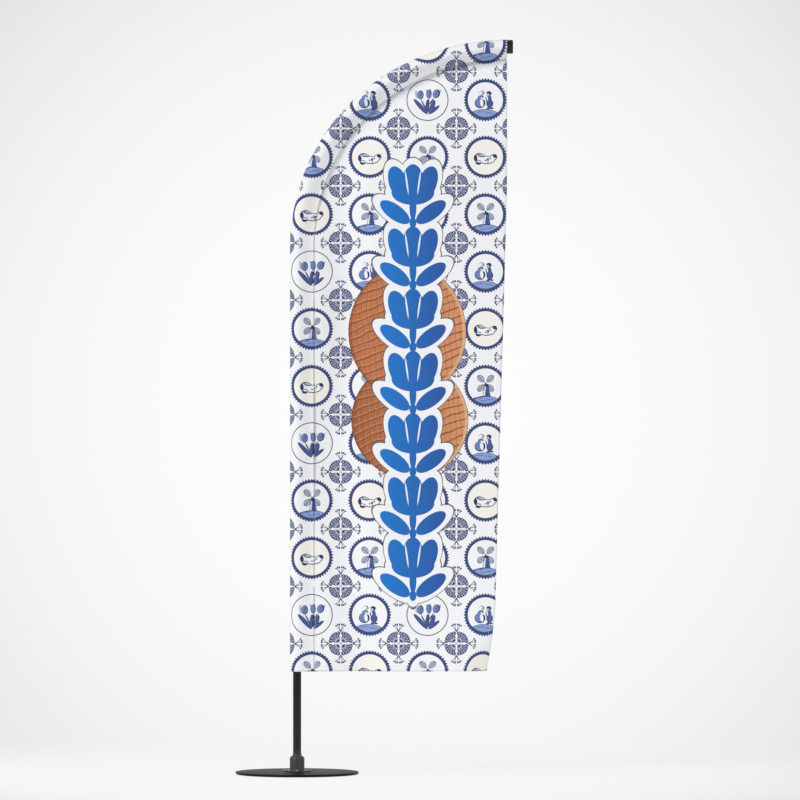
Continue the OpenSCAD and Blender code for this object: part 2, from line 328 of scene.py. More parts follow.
@dataclass(frozen=True)
class Drawn:
    """A drawn or pultruded tube: long streaks that run with the pole and a clear sheen."""

    name: str
    colour: Colour
    streak: Colour
    roughness: float = 0.34
    gloss: float = 0.5
    streak_depth: float = 0.00003

    def make(self) -> Material:
        """Makes the finish.

        Returns:
            The material.
        """
        finish = Finish(self.name, self.colour, self.roughness)
        streaks = finish.grain(finish.place((1.0, 1.0, 0.012)), 900.0, 3.0, 0.6)
        handling = finish.grain(finish.place((1.0, 1.0, 0.4)), 45.0, 4.0, 0.65)
        finish.mottle(streaks, 0.35, 0.75, 1.0, self.streak)
        finish.wear(handling, 0.3, 0.75, 0.06, 0.12)
        finish.emboss(streaks, self.streak_depth, 0.5)
        finish.set("Specular IOR Level", self.gloss)
        return finish.material


@dataclass(frozen=True)
class Webbing:
    """Flat woven strap: a herringbone of thick yarns, with a painted highlight on the raised
    yarns.
    """

    name: str
    colour: Colour
    yarn: float = 0.0011
    yarn_depth: float = 0.0004
    yarn_turn: float = 0.7

    def make(self) -> Material:
        """Makes the finish.

        Returns:
            The material.
        """
        finish = Finish(self.name, self.colour, 0.78)
        warp, weft = (finish.bands(finish.place(turn=(0.0, turn, 0.0)),
                                   math.pi / (10 * self.yarn), Distortion=0.4)
                      for turn in (self.yarn_turn, -self.yarn_turn))
        both = finish.node("Math", {0: warp, 1: weft}, operation="MAXIMUM").outputs[0]
        # Painted highlight: the raised yarns are paler than the rest of the strap.
        finish.tint(both, self.colour, paler(self.colour, 0.05))
        finish.emboss(both, self.yarn_depth, 0.8)
        finish.set("Sheen Weight", 0.3)
        return finish.material


@dataclass(frozen=True)
class Thread:
    """Twisted polyester sewing thread, darker in the grooves between its plies as painted shade.
    """

    name: str
    colour: Colour
    twist: float = 900.0
    twist_depth: float = 0.0001

    def make(self) -> Material:
        """Makes the finish.

        Returns:
            The material.
        """
        finish = Finish(self.name, self.colour, 0.55)
        plies_and_groove_shade = finish.bands(finish.place(turn=(0.6, 0.7, 0.3)), self.twist)
        # Painted shade: the thread is darker in the grooves between its plies, where the bump is
        # low.
        finish.tint(plies_and_groove_shade, darker(self.colour, 0.8), self.colour)
        finish.emboss(plies_and_groove_shade, self.twist_depth, 0.6)
        finish.set("Sheen Weight", 0.2)
        return finish.material


# ---- The print's tools -------------------------------------------------------------------


class Field:
    """A number that changes over the cloth, with ordinary arithmetic on it."""

    def __init__(self, finish: Finish, socket: Socket) -> None:
        """Keeps the material that the number belongs to and the socket that gives it."""
        self.finish = finish
        self.socket = socket

    def math(self, operation: str, *others: "Field | float", limit: bool = False) -> "Field":
        """Puts this number through one sum.

        Args:
            operation: Blender's name of the sum.
            others: The sum's further numbers.
            limit: True to keep the result from 0 to 1.

        Returns:
            The result.
        """
        inputs: dict[str | int, object] = {0: self.socket}
        for index, other in enumerate(others, start=1):
            inputs[index] = other.socket if isinstance(other, Field) else float(other)
        made = self.finish.node("Math", inputs, operation=operation, use_clamp=limit)
        return Field(self.finish, made.outputs[0])

    def __add__(self, other: "Field | float") -> "Field":
        """The sum with another number."""
        return self.math("ADD", other)

    def __sub__(self, other: "Field | float") -> "Field":
        """The difference from another number."""
        return self.math("SUBTRACT", other)

    def __mul__(self, other: "Field | float") -> "Field":
        """The product with another number."""
        return self.math("MULTIPLY", other)

    def scaled(self, by: float, plus: float, limit: bool = False) -> "Field":
        """This number times by, with plus added."""
        return self.math("MULTIPLY_ADD", by, plus, limit=limit)

    def size(self) -> "Field":
        """This number without its sign."""
        return self.math("ABSOLUTE")

    def lesser(self, other: "Field | float") -> "Field":
        """The smaller of two numbers, which joins two shapes."""
        return self.math("MINIMUM", other)

    def greater(self, other: "Field | float") -> "Field":
        """The larger of two numbers, which keeps what two shapes share."""
        return self.math("MAXIMUM", other)

    def within(self, pitch: float) -> "Field":
        """The share of the way through a repeat of this pitch, from -0.5 to 0.5."""
        return self.scaled(1 / pitch, 0.0).math("FRACT") - 0.5


@dataclass(frozen=True)
class Oval:
    """An ellipse in a motif's own millimetres, with its long side turned by tilt degrees."""

    x: float
    z: float
    half_x: float
    half_z: float
    tilt: float = 0.0


@dataclass(frozen=True)
class Stroke:
    """One colour of ink over a few ovals that run together."""

    ink: Colour
    ovals: tuple[Oval, ...]


@dataclass
class Ground:
    """A pattern's local coordinates in millimetres from the motif's middle."""

    place: Socket
    x: Field
    z: Field


@dataclass
class PrintCanvas:
    """Lays inks on the cloth: every shape is a distance in millimetres, negative inside."""

    finish: Finish
    edge: float = 0.9
    shown: Socket | None = None

    def ground(self, x: Field, z: Field) -> Ground:
        """Joins two numbers to local coordinates."""
        joined = self.finish.node("CombineXYZ", {0: x.socket, 1: z.socket})
        return Ground(joined.outputs[0], x, z)

    def next(self, ground: Ground) -> Ground:
        """Gives the same coordinates again, worked out after the picture so far.

        A renderer works out everything that is ready at once, and it can only hold a few
        hundred numbers. Waiting for the picture so far keeps each motif's shapes together.

        Args:
            ground: The local coordinates.

        Returns:
            The same coordinates.
        """
        waited = self.finish.node(
            "VectorMath", {0: self.shown, 1: (0.0, 0.0, 0.0), 2: ground.place},
            operation="MULTIPLY_ADD").outputs[0]
        parts = self.finish.node("SeparateXYZ", {0: waited})
        return Ground(waited, Field(self.finish, parts.outputs[0]),
                      Field(self.finish, parts.outputs[1]))

    def length(self, place: Socket) -> Field:
        """How far a place is from its coordinates' middle."""
        measured = self.finish.node("VectorMath", {0: place}, operation="LENGTH")
        return Field(self.finish, measured.outputs["Value"])

    def oval(self, ground: Ground, shape: Oval) -> Field:
        """The distance to an ellipse.

        Args:
            ground: The local coordinates.
            shape: The ellipse.

        Returns:
            About how many millimetres it is to the ellipse's rim, negative inside.
        """
        turned = self.finish.node(
            "Mapping",
            {"Vector": ground.place, "Location": (shape.x, shape.z, 0.0),
             "Rotation": (0.0, 0.0, math.radians(shape.tilt)),
             "Scale": (shape.half_x, shape.half_z, 1.0)},
            vector_type="TEXTURE").outputs[0]
        least = min(shape.half_x, shape.half_z)
        return self.length(turned).scaled(least, -least)

    def ovals(self, ground: Ground, shapes: Iterable[Oval]) -> Field:
        """The distance to the nearest of several ellipses.

        Args:
            ground: The local coordinates.
            shapes: The ellipses.

        Returns:
            The distance, negative inside any of them.
        """
        nearest: Field | None = None
        for shape in shapes:
            one = self.oval(ground, shape)
            nearest = one if nearest is None else nearest.lesser(one)
        return nearest

    def cover(self, distance: Field, grow: float = 0.0) -> Field:
        """How much ink a shape holds, from 0 outside to 1 inside its rim moved out by grow."""
        return distance.scaled(-1 / self.edge, grow / self.edge + 0.5, limit=True)

    def start(self, colour: Colour | Socket) -> None:
        """Starts a picture.

        Args:
            colour: A plain colour, or what is already printed.
        """
        if isinstance(colour, tuple):
            plain = self.finish.node("RGB")
            plain.outputs[0].default_value = (*colour, 1.0)
            self.shown = plain.outputs[0]
        else:
            self.shown = colour

    def lay(self, ink: Colour | Socket, cover: Field) -> None:
        """Lays an ink over the picture.

        Args:
            ink: The ink's colour, or the picture to lay.
            cover: Where it goes, from 0 to 1.
        """
        mixed = self.finish.node("Mix", data_type="RGBA")
        links = self.finish.tree.links
        links.new(cover.socket, mixed.inputs[0])
        links.new(self.shown, mixed.inputs[6])
        if isinstance(ink, tuple):
            mixed.inputs[7].default_value = (*ink, 1.0)
        else:
            links.new(ink, mixed.inputs[7])
        self.shown = mixed.outputs[2]

    def draw(self, ground: Ground, strokes: Iterable[Stroke]) -> None:
        """Draws strokes one over the other."""
        for stroke in strokes:
            self.lay(stroke.ink, self.cover(self.ovals(ground, stroke.ovals)))


class Ink:
    """The print's inks."""

    CLOTH = linear(248, 249, 252)
    NAVY = linear(40, 52, 100)
    RING = linear(58, 74, 130)
    BLUE = linear(70, 92, 156)
    MIDDLE = linear(112, 134, 192)
    HILL = linear(140, 166, 218)
    PALE = linear(180, 186, 206)
    GREY = linear(84, 84, 94)
    LINE = linear(104, 110, 138)
    CREAM = linear(250, 247, 240)
    BRIGHT = linear(24, 122, 208)
    DEEP = linear(42, 88, 164)
    CRUST = linear(186, 103, 58)
    CRUST_DARK = linear(160, 86, 44)
    CRUST_LIT = linear(222, 150, 104)
    GROOVE = linear(116, 58, 30)
    CREST = linear(222, 160, 116)
    RIM = linear(232, 194, 150)


# ---- The print's motifs ------------------------------------------------------------------


@dataclass(frozen=True)
class Ornament:
    """The square ornament of eight lobes with its sprouts, given by one eighth of it."""

    lobes: tuple[Oval, ...] = (
        Oval(18, 18, 14.5, 14.5), Oval(23.8, 23.8, 6.2, 6.2), Oval(29, 16.4, 6.4, 6.4),
        Oval(31.6, 7.8, 6.4, 6.4), Oval(15, 7.6, 8.5, 6.8))
    gap: float = 3.3
    gap_taper: float = 0.06
    lobe_line: float = 2.6
    petals: tuple[Oval, ...] = (Oval(24.2, 6.8, 9.6, 2.4, 13), Oval(21.8, 13.2, 9.6, 2.3, 31),
                                Oval(18.2, 18.2, 9.4, 1.9, 45))
    petal_line: float = 0.30
    petal_white: float = 0.9
    details: tuple[Stroke, ...] = (
        Stroke(Ink.NAVY, (Oval(5.4, 5.4, 7.4, 1.0, 45), Oval(9.6, 7.4, 3.2, 1.3, 38))),
        Stroke(Ink.LINE, (Oval(47.5, 6.8, 11, 1.0, 32), Oval(48.5, 3.8, 11, 1.0, 14))),
        Stroke(Ink.NAVY, (Oval(60.2, 3.8, 3.8, 2.2, 8), Oval(59.6, 9.2, 3.4, 2.3, 30),
                          Oval(56, 14.4, 3.2, 2.4, 62), Oval(41, 1.8, 4.4, 1.8, 12))),
    )

    def draw(self, canvas: PrintCanvas, eighth: Ground) -> None:
        """Draws the ornament.

        Args:
            canvas: The print's canvas.
            eighth: Coordinates folded so that x is the larger distance and z the smaller.
        """
        lobes = canvas.ovals(eighth, self.lobes)
        beside = (eighth.x.scaled(self.gap_taper, -self.gap) + eighth.z) * -1.0
        inked = canvas.cover(lobes) * canvas.cover(beside)
        canvas.lay(Ink.NAVY, inked)
        canvas.lay(Ink.RING, canvas.cover(lobes, -self.lobe_line) * canvas.cover(beside, -1.0))
        lines: Field | None = None
        for petal in self.petals:
            line = canvas.oval(eighth, petal).size()
            lines = line if lines is None else lines.lesser(line)
        canvas.lay(Ink.CLOTH, canvas.cover(lines, self.petal_line) * inked * self.petal_white)
        canvas.draw(eighth, self.details)


@dataclass(frozen=True)
class Mound:
    """The grassy mound that fills a medallion's foot."""

    hill: Oval
    streaks: tuple[Oval, ...]
    outline: float
    grass: Oval | None = None

    def draw(self, canvas: PrintCanvas, ground: Ground, room: float) -> None:
        """Draws the mound.

        Args:
            canvas: The print's canvas.
            ground: The medallion's coordinates.
            room: The radius of the medallion's inside.
        """
        inside = canvas.oval(ground, Oval(0, 0, room, room))
        hill = canvas.oval(ground, self.hill).greater(inside)
        canvas.lay(Ink.NAVY, canvas.cover(hill))
        grass = hill if self.grass is None else canvas.oval(ground, self.grass).greater(inside)
        canvas.lay(Ink.HILL, canvas.cover(grass, -self.outline))
        canvas.draw(ground, (Stroke(Ink.MIDDLE, self.streaks),))


@dataclass(frozen=True)
class Picture:
    """What stands inside a medallion: strokes, the undermost first, on cream or a mound."""

    strokes: tuple[Stroke, ...] = ()
    mound: Mound | None = None
    cream_margin: float | None = None

    def draw(self, canvas: PrintCanvas, ground: Ground, room: float) -> None:
        """Draws the picture.

        Args:
            canvas: The print's canvas.
            ground: The medallion's coordinates.
            room: The radius of the medallion's inside.
        """
        if self.cream_margin is not None:
            cream = room - self.cream_margin
            canvas.lay(Ink.CREAM, canvas.cover(canvas.oval(ground, Oval(0, 0, cream, cream))))
        if self.mound is not None:
            self.mound.draw(canvas, ground, room)
        canvas.draw(ground, self.strokes)


@dataclass(frozen=True)
class TulipPosy(Picture):
    """Three cut tulips with their leaves, for the plain medallions."""

    strokes: tuple[Stroke, ...] = (
        Stroke(Ink.NAVY, (Oval(-12.5, -14.5, 2.2, 18, 28), Oval(3.6, -16, 2.1, 23, -3),
                          Oval(12.5, -5, 2.1, 14, -36))),
        Stroke(Ink.NAVY, (Oval(-21.7, -21, 6.9, 32, 42), Oval(-0.7, -21, 6, 23, -4),
                          Oval(14.5, -22.3, 7.4, 23.5, -20), Oval(21, -31.5, 5.6, 21.5, -52))),
        Stroke(Ink.BLUE, (Oval(-20.7, -21, 4.9, 29, 42), Oval(-1.2, -21, 3.6, 20, -4),
                          Oval(13.5, -22.3, 5.2, 20.5, -20),
                          Oval(20.4, -30.8, 3.4, 18.5, -52))),
        Stroke(Ink.PALE, (Oval(-34.8, 18.4, 4.2, 13.4, 8), Oval(36.5, 22, 3.6, 12, -32))),
        Stroke(Ink.NAVY, (Oval(-22.3, 16.4, 10.2, 14.7), Oval(4.6, 19, 8.8, 14.5),
                          Oval(28.2, 19.7, 11.6, 14.2, -20))),
        Stroke(Ink.MIDDLE, (Oval(-23.2, 16.9, 8.4, 12.8), Oval(4.2, 19.4, 7, 12.6),
                            Oval(26.6, 20.2, 9.2, 12.4, -20))),
        Stroke(Ink.NAVY, (Oval(-20.4, 20, 1.1, 10, -14), Oval(7.6, 22, 1.1, 10, -14),
                          Oval(-3.3, 30.2, 1.4, 3.6, 24), Oval(8.5, 31.5, 1.4, 3.6, -24),
                          Oval(31.5, 23, 1.2, 9, -34))),
    )


@dataclass(frozen=True)
class FolkPair(Picture):
    """Two plain folk-dress shapes on a mound, with no faces, for the ringed medallions."""

    strokes: tuple[Stroke, ...] = (
        Stroke(Ink.NAVY, (Oval(-17, -10, 17.2, 16.4), Oval(14, -12, 10.8, 13.4),
                          Oval(-14.5, 6.5, 9.2, 11.4, 10), Oval(10, 4, 9.4, 13.6, 8))),
        Stroke(Ink.MIDDLE, (Oval(-18.6, -9, 13.6, 13.6), Oval(-15, 7, 6.8, 8.8, 10))),
        Stroke(Ink.BLUE, (Oval(14, -12.4, 8.2, 11.2), Oval(10, 4.4, 7, 11, 8))),
        Stroke(Ink.CLOTH, (Oval(-11.5, -9.5, 5.2, 12.2, 8), Oval(5.5, 6.5, 2.2, 9, 12),
                           Oval(-7.5, 4, 8, 2.5, -22))),
        Stroke(Ink.NAVY, (Oval(-12.5, 20.5, 9.4, 8.6, 20), Oval(11.5, 21, 8.4, 6.6, -12),
                          Oval(9, -27, 6, 2.8), Oval(20, -27, 6, 2.8))),
        Stroke(Ink.CLOTH, (Oval(-14, 21, 7.2, 6.4, 20), Oval(-19.5, 16.5, 5.4, 2.6, 48))),
        Stroke(Ink.PALE, (Oval(-8.8, 18.2, 4.4, 5.2), Oval(7.8, 16.6, 4.6, 4.8))),
    )
    mound: Mound = Mound(Oval(-4, -119, 90, 90),
                         (Oval(-16, -38, 14, 2.2, 4), Oval(12, -42, 14, 2.4, -6)), 1.6)


@dataclass(frozen=True)
class WoodenShoe(Picture):
    """A painted wooden shoe seen from its side, on a cream ground."""

    strokes: tuple[Stroke, ...] = (
        Stroke(Ink.NAVY, (Oval(-19, -3, 18, 16), Oval(3, -9, 27, 13),
                          Oval(25, -1.5, 13, 10, 28), Oval(-22, -18, 9, 6.4))),
        Stroke(Ink.CLOTH, (Oval(-18.6, -3.6, 15.4, 13.4), Oval(3, -8.6, 24.6, 10.4),
                           Oval(24, -2, 10.4, 7.4, 28))),
        Stroke(Ink.NAVY, (Oval(-13, 5.6, 12.6, 5.6, -8),)),
        Stroke(Ink.PALE, (Oval(-12.2, 6.6, 10.4, 3.8, -8),)),
        Stroke(Ink.NAVY, (Oval(-30, -4, 4.6, 11, 4), Oval(30, 3.6, 6.4, 6, -24),
                          Oval(8, -7.5, 4.2, 4.2), Oval(15.5, -3.6, 2.4, 2.4),
                          Oval(0.6, -10.6, 2.4, 2.4), Oval(8.4, -14.8, 2.2, 2.2))),
        Stroke(Ink.MIDDLE, (Oval(8, -7.5, 2.1, 2.1), Oval(-19, -11.5, 8.4, 1.8, -14))),
    )
    cream_margin: float = 0.6


@dataclass(frozen=True)
class Windmill(Picture):
    """A windmill on its mound: four lattice sails, a tapered tower and a door."""

    hub_x: float = 0.7
    hub_z: float = 8.5
    sail: Oval = Oval(21, 0, 14, 9.8)
    sail_taper: float = 0.55
    sail_sharpness: float = 0.9
    frame_line: float = 1.7
    bar_pitch: float = 5.2
    bar_line: float = 0.35
    spar_length: float = 33.0
    spar_line: float = 0.7
    tower_x: float = 3.8
    tower_foot: float = 34.0
    tower_half: float = 5.6
    tower_spread: float = 0.19
    light_spread: float = 0.10
    light_in: float = 2.4
    strokes: tuple[Stroke, ...] = (
        Stroke(Ink.NAVY, (Oval(4.2, -13, 1.6, 2.6), Oval(5.4, -24, 2, 3.4),
                          Oval(0.7, 8.5, 2.6, 2.6), Oval(3.6, 2.6, 7, 4.6))),
    )
    mound: Mound = Mound(
        Oval(0, -131, 100, 100),
        (Oval(-19, -38, 12, 2.4, -4), Oval(14, -43, 13, 2.6, 6), Oval(-6, -47, 11, 2)),
        1.0, Oval(5, -133, 100, 100))

    def sails(self, canvas: PrintCanvas, ground: Ground) -> None:
        """Draws the four crossed sails.

        Args:
            canvas: The print's canvas.
            ground: The medallion's coordinates.
        """
        x, z = ground.x - self.hub_x, ground.z - self.hub_z
        diagonal = math.sqrt(0.5)
        one, other = ((x + z) * diagonal).size(), ((x - z) * diagonal).size()
        along, across = one.greater(other), one.lesser(other)
        wedge = (across - along * self.sail_taper) * self.sail_sharpness
        sails = canvas.oval(canvas.ground(along, across), self.sail).greater(wedge)
        canvas.lay(Ink.LINE, canvas.cover(sails))
        canvas.lay(Ink.PALE, canvas.cover(sails, -self.frame_line))
        bars = along.within(self.bar_pitch).size() * self.bar_pitch
        canvas.lay(Ink.LINE, canvas.cover(bars, self.bar_line)
                   * canvas.cover(sails, -self.frame_line))
        canvas.lay(Ink.NAVY, canvas.cover(across, self.spar_line)
                   * canvas.cover(along - self.spar_length))

    def tower(self, canvas: PrintCanvas, ground: Ground) -> None:
        """Draws the tower with its lit side.

        Args:
            canvas: The print's canvas.
            ground: The medallion's coordinates.
        """
        drop = ground.z.scaled(-1.0, self.hub_x)
        foot = drop - self.tower_foot
        beside = (ground.x - self.tower_x).size() - drop.scaled(self.tower_spread,
                                                                self.tower_half)
        tower = beside.greater(drop * -1.0).greater(foot)
        canvas.lay(Ink.NAVY, canvas.cover(tower, 0.9))
        canvas.lay(Ink.BLUE, canvas.cover(tower, -0.4))
        lit = (ground.x + drop.scaled(self.light_spread, -self.light_in)).greater(foot)
        canvas.lay(Ink.CLOTH, canvas.cover(lit.greater(tower), -0.6) * 0.85)

    def draw(self, canvas: PrintCanvas, ground: Ground, room: float) -> None:
        """Draws the windmill.

        Args:
            canvas: The print's canvas.
            ground: The medallion's coordinates.
            room: The radius of the medallion's inside.
        """
        self.sails(canvas, ground)
        self.tower(canvas, ground)
        canvas.draw(ground, self.strokes)
        self.mound.draw(canvas, ground, room)


@dataclass(frozen=True)
class Medallions:
    """The lattice of round medallions with square ornaments between them, in millimetres."""

    start_x: float = 46.3
    start_z: float = 2135.8
    pitch_x: float = 183.4
    pitch_z: float = 181.3
    ring_out: float = 66.3
    ring_in: float = 55.7
    ring_line: float = 2.6
    inner_line: float = 1.4
    scallops: int = 44
    scallop_depth: float = 2.3
    plain_ring: float = 66.5
    plain_line: float = 3.0

    def rings(self, canvas: PrintCanvas, ground: Ground, ringed: Field) -> None:
        """Draws each medallion's rim.

        Args:
            canvas: The print's canvas.
            ground: The medallion's coordinates.
            ringed: 1 where the rim is a scalloped ring, 0 where it is a plain line.
        """
        radius = canvas.length(ground.place)
        wave = (ground.z.math("ARCTAN2", ground.x) * float(self.scallops)).math("COSINE")
        outside = radius - wave.scaled(self.scallop_depth, self.ring_out)
        inside = radius - self.ring_in
        canvas.lay(Ink.CLOTH, canvas.cover(radius - self.plain_ring))
        line = (radius - (self.plain_ring - self.plain_line / 2)).size()
        plain = canvas.cover(line, self.plain_line / 2) * ringed.scaled(-1.0, 1.0)
        canvas.lay(Ink.GREY, plain)
        canvas.lay(Ink.NAVY, canvas.cover(outside) * ringed)
        canvas.lay(Ink.RING, canvas.cover(outside, -self.ring_line) * ringed)
        canvas.lay(Ink.NAVY, canvas.cover(inside, self.inner_line) * ringed)
        canvas.lay(Ink.CLOTH, canvas.cover(inside) * ringed)


@dataclass(frozen=True)
class Waffle:
    """A round waffle with its pressed grid."""

    outline: Oval
    crust: Colour
    row_pitch: float = 24.0
    row_slope: float = math.radians(20.0)
    line_pitch: float = 17.0
    line_lean: float = 0.06
    wobble: float = 22.0
    wobble_scale: float = 14.0
    crumb_scale: float = 260.0
    shadow: float = 1.5
    rim_inset: float = 9.0

    def draw(self, canvas: PrintCanvas, whole: Ground, flat: Socket) -> None:
        """Draws the waffle.

        Args:
            canvas: The print's canvas.
            whole: The print's coordinates.
            flat: The cloth's flat coordinates in metres.
        """
        finish = canvas.finish
        rim = canvas.oval(whole, self.outline)
        bend = Field(finish, finish.grain(flat, self.wobble_scale, 1.0)) * self.wobble
        slope, lean = self.row_slope, self.line_lean
        rise = (whole.z * math.cos(slope)) - (whole.x * math.sin(slope)) + bend
        over = (whole.x * math.cos(lean)) + (whole.z * math.sin(lean)) + bend
        rows, lines = rise.within(self.row_pitch), over.within(self.line_pitch)
        side = (whole.x - self.outline.x).scaled(0.5 / self.outline.half_x, 0.5, limit=True)
        crumb = Field(finish, finish.grain(flat, self.crumb_scale, 3.0, 0.7))
        canvas.lay(Ink.GROOVE, canvas.cover(rim, self.shadow))
        shown = canvas.shown
        canvas.start(self.crust)
        canvas.lay(Ink.CRUST_LIT, side)
        canvas.lay(Ink.CREST, rows.scaled(-4.0, -0.7, limit=True) * 0.8)
        canvas.lay(Ink.CREST, lines.scaled(-4.0, -0.9, limit=True) * 0.55)
        canvas.lay(Ink.GROOVE, rows.size().scaled(6.0, -2.0, limit=True) * 0.95)
        canvas.lay(Ink.GROOVE, lines.size().scaled(5.0, -1.8, limit=True) * 0.8)
        canvas.lay(Ink.RIM, crumb.scaled(3.2, -1.7, limit=True) * 0.6)
        edge = canvas.cover(rim.scaled(-1.0, -self.rim_inset))
        canvas.lay(Ink.RIM, edge * side.scaled(2.0, -1.0, limit=True) * 0.7)
        canvas.lay(Ink.GROOVE, canvas.cover(rim.scaled(-0.08, -0.55))
                   * side.scaled(-1.4, 0.9, limit=True) * 0.6)
        baked = canvas.shown
        canvas.start(shown)
        canvas.lay(baked, canvas.cover(rim))


@dataclass(frozen=True)
class Garland:
    """The column of big stylised tulips that runs up the flag's middle."""

    x: float = 367.0
    low: float = 560.0
    high: float = 1936.0
    pitch: float = 197.0
    outline: float = 12.0
    outline_edge: float = 2.0
    petals: tuple[Oval, ...] = (Oval(0, 134, 33, 56), Oval(-45, 128, 30, 58, 20),
                                Oval(45, 128, 30, 58, -20))
    cup: tuple[Oval, ...] = (Oval(0, 101, 68, 40),)
    stalk: tuple[Oval, ...] = (Oval(0, 52, 11, 40), Oval(0, 5, 11, 17),
                               Oval(-57, 38, 24, 56, 54), Oval(57, 38, 24, 56, -54))
    veins: tuple[Oval, ...] = (Oval(-19.5, 132, 2.6, 36, 8), Oval(19.5, 132, 2.6, 36, -8))
    vein_white: float = 0.95
    shade_width: float = 200.0
    far: float = 500.0

    def draw(self, canvas: PrintCanvas, whole: Ground) -> None:
        """Draws the column, with each flower joined to its neighbours.

        Args:
            canvas: The print's canvas.
            whole: The print's coordinates.
        """
        height = whole.z - self.low
        last = round((self.high - self.low) / self.pitch) - 1
        cell = height.scaled(1 / self.pitch, 0.0).math("FLOOR").greater(0.0).lesser(float(last))
        ground = canvas.ground(whole.x - self.x, height - cell * self.pitch)
        above = canvas.ground(ground.x, ground.z - self.pitch)
        below = canvas.ground(ground.x, ground.z + self.pitch)
        bloom = canvas.ovals(ground, self.petals + self.cup + self.stalk)
        bloom = bloom.lesser(canvas.ovals(above, self.stalk)
                             + cell.math("GREATER_THAN", last - 0.5) * self.far)
        bloom = bloom.lesser(canvas.ovals(below, self.petals)
                             + cell.math("LESS_THAN", 0.5) * self.far)
        canvas.lay(Ink.GREY, canvas.cover(bloom, self.outline + self.outline_edge))
        canvas.lay(Ink.CLOTH, canvas.cover(bloom, self.outline))
        shown = canvas.shown
        canvas.start(Ink.BRIGHT)
        canvas.lay(Ink.DEEP, ground.x.scaled(1 / self.shade_width, 0.5, limit=True))
        blue = canvas.shown
        canvas.start(shown)
        canvas.lay(blue, canvas.cover(bloom))
        for vein in self.veins:
            canvas.lay(Ink.CLOTH, canvas.cover(canvas.oval(ground, vein)) * self.vein_white)


@dataclass(frozen=True)
class FlagPrint:
    """The flag's printed cloth: blue medallions, ornaments, two round waffles, a garland."""

    roughness: float = 0.74
    lattice: Medallions = Medallions()
    ornament: Ornament = Ornament()
    waffles: tuple[Waffle, ...] = (
        Waffle(Oval(357, 1121, 184, 184), Ink.CRUST_DARK),
        Waffle(Oval(349, 1400.6, 185, 209), Ink.CRUST),
    )
    garland: Garland = Garland()
    yarn: float = 0.0012
    yarn_depth: float = 0.00012

    def repeat(self, value: Field, start: float, pitch: float) -> tuple[Field, Field]:
        """Splits a coordinate into the number of its cell and the place within it.

        Args:
            value: The coordinate.
            start: The middle of cell 0.
            pitch: The distance between cells.

        Returns:
            The cell's whole number, and the distance from the cell's middle.
        """
        shifted = value - start
        cell = shifted.scaled(1 / pitch, 0.5).math("FLOOR")
        return cell, shifted - cell * pitch

    def ornaments(self, canvas: PrintCanvas, whole: Ground) -> None:
        """Draws the ornaments between the medallions.

        Args:
            canvas: The print's canvas.
            whole: The print's coordinates.
        """
        lattice = self.lattice
        _, x = self.repeat(whole.x, lattice.start_x + lattice.pitch_x / 2, lattice.pitch_x)
        _, z = self.repeat(whole.z, lattice.start_z + lattice.pitch_z / 2, lattice.pitch_z)
        wide, tall = x.size(), z.size()
        self.ornament.draw(canvas, canvas.ground(wide.greater(tall), wide.lesser(tall)))

    def medallions(self, canvas: PrintCanvas, whole: Ground) -> None:
        """Draws the rims, and the picture inside each one by its column and row.

        Args:
            canvas: The print's canvas.
            whole: The print's coordinates.
        """
        lattice = self.lattice
        column, x = self.repeat(whole.x, lattice.start_x, lattice.pitch_x)
        row, z = self.repeat(whole.z, lattice.start_z, lattice.pitch_z)
        ground = canvas.next(canvas.ground(x, z))
        odd = column.math("FLOORED_MODULO", 2.0)
        third = (row * -1.0).math("FLOORED_MODULO", 3.0)
        first_row = third.math("LESS_THAN", 0.5)
        other_row = first_row.scaled(-1.0, 1.0)
        tulips = first_row * odd.scaled(-1.0, 1.0)
        mill = other_row * (third + odd).math("FLOORED_MODULO", 2.0)
        lattice.rings(canvas, ground, tulips.scaled(-1.0, 1.0))
        printed = canvas.shown
        for chosen, picture in ((tulips, TulipPosy()), (first_row * odd, FolkPair()),
                                (other_row - mill, WoodenShoe()), (mill, Windmill())):
            canvas.start(printed)
            ground = canvas.next(ground)
            picture.draw(canvas, ground, lattice.ring_in)
            drawn = canvas.shown
            canvas.start(printed)
            canvas.lay(drawn, chosen)
            printed = canvas.shown

    def weave(self, finish: Finish, flat: Socket) -> None:
        """Gives the cloth its knitted threads, its sheen and its faint unevenness.

        Args:
            finish: The cloth's finish.
            flat: The cloth's flat coordinates in metres.
        """
        warp, weft = (finish.bands(flat, math.pi / (10 * self.yarn), axis, Distortion=0.6,
                                   Detail=0.0) for axis in "XY")
        both = finish.node("Math", {0: warp, 1: weft}, operation="MULTIPLY").outputs[0]
        finish.emboss(both, self.yarn_depth, 0.25)
        finish.wear(finish.grain(flat, 30.0, 3.0), 0.3, 0.7, 0.06, 0.06)
        finish.set("Sheen Weight", 0.12)
        finish.set("Sheen Roughness", 0.5)
        finish.set("Specular IOR Level", 0.3)

    def make(self) -> Material:
        """Draws the whole print.

        Returns:
            The cloth's material.
        """
        finish = Finish("printed_polyester", Ink.CLOTH, self.roughness)
        flat = finish.node("UVMap", uv_map=PRINT_MAP).outputs[0]
        x, z = (Field(finish, metres) * 1000.0
                for metres in finish.node("SeparateXYZ", {0: flat}).outputs[:2])
        canvas = PrintCanvas(finish)
        whole = canvas.ground(x, z)
        canvas.start(Ink.CLOTH)
        self.ornaments(canvas, whole)
        self.medallions(canvas, whole)
        for waffle in self.waffles:
            waffle.draw(canvas, canvas.next(whole), flat)
        self.garland.draw(canvas, canvas.next(whole))
        finish.feed("Base Color", canvas.shown)
        self.weave(finish, flat)
        return finish.material


# ---- Hard finishes -----------------------------------------------------------------------


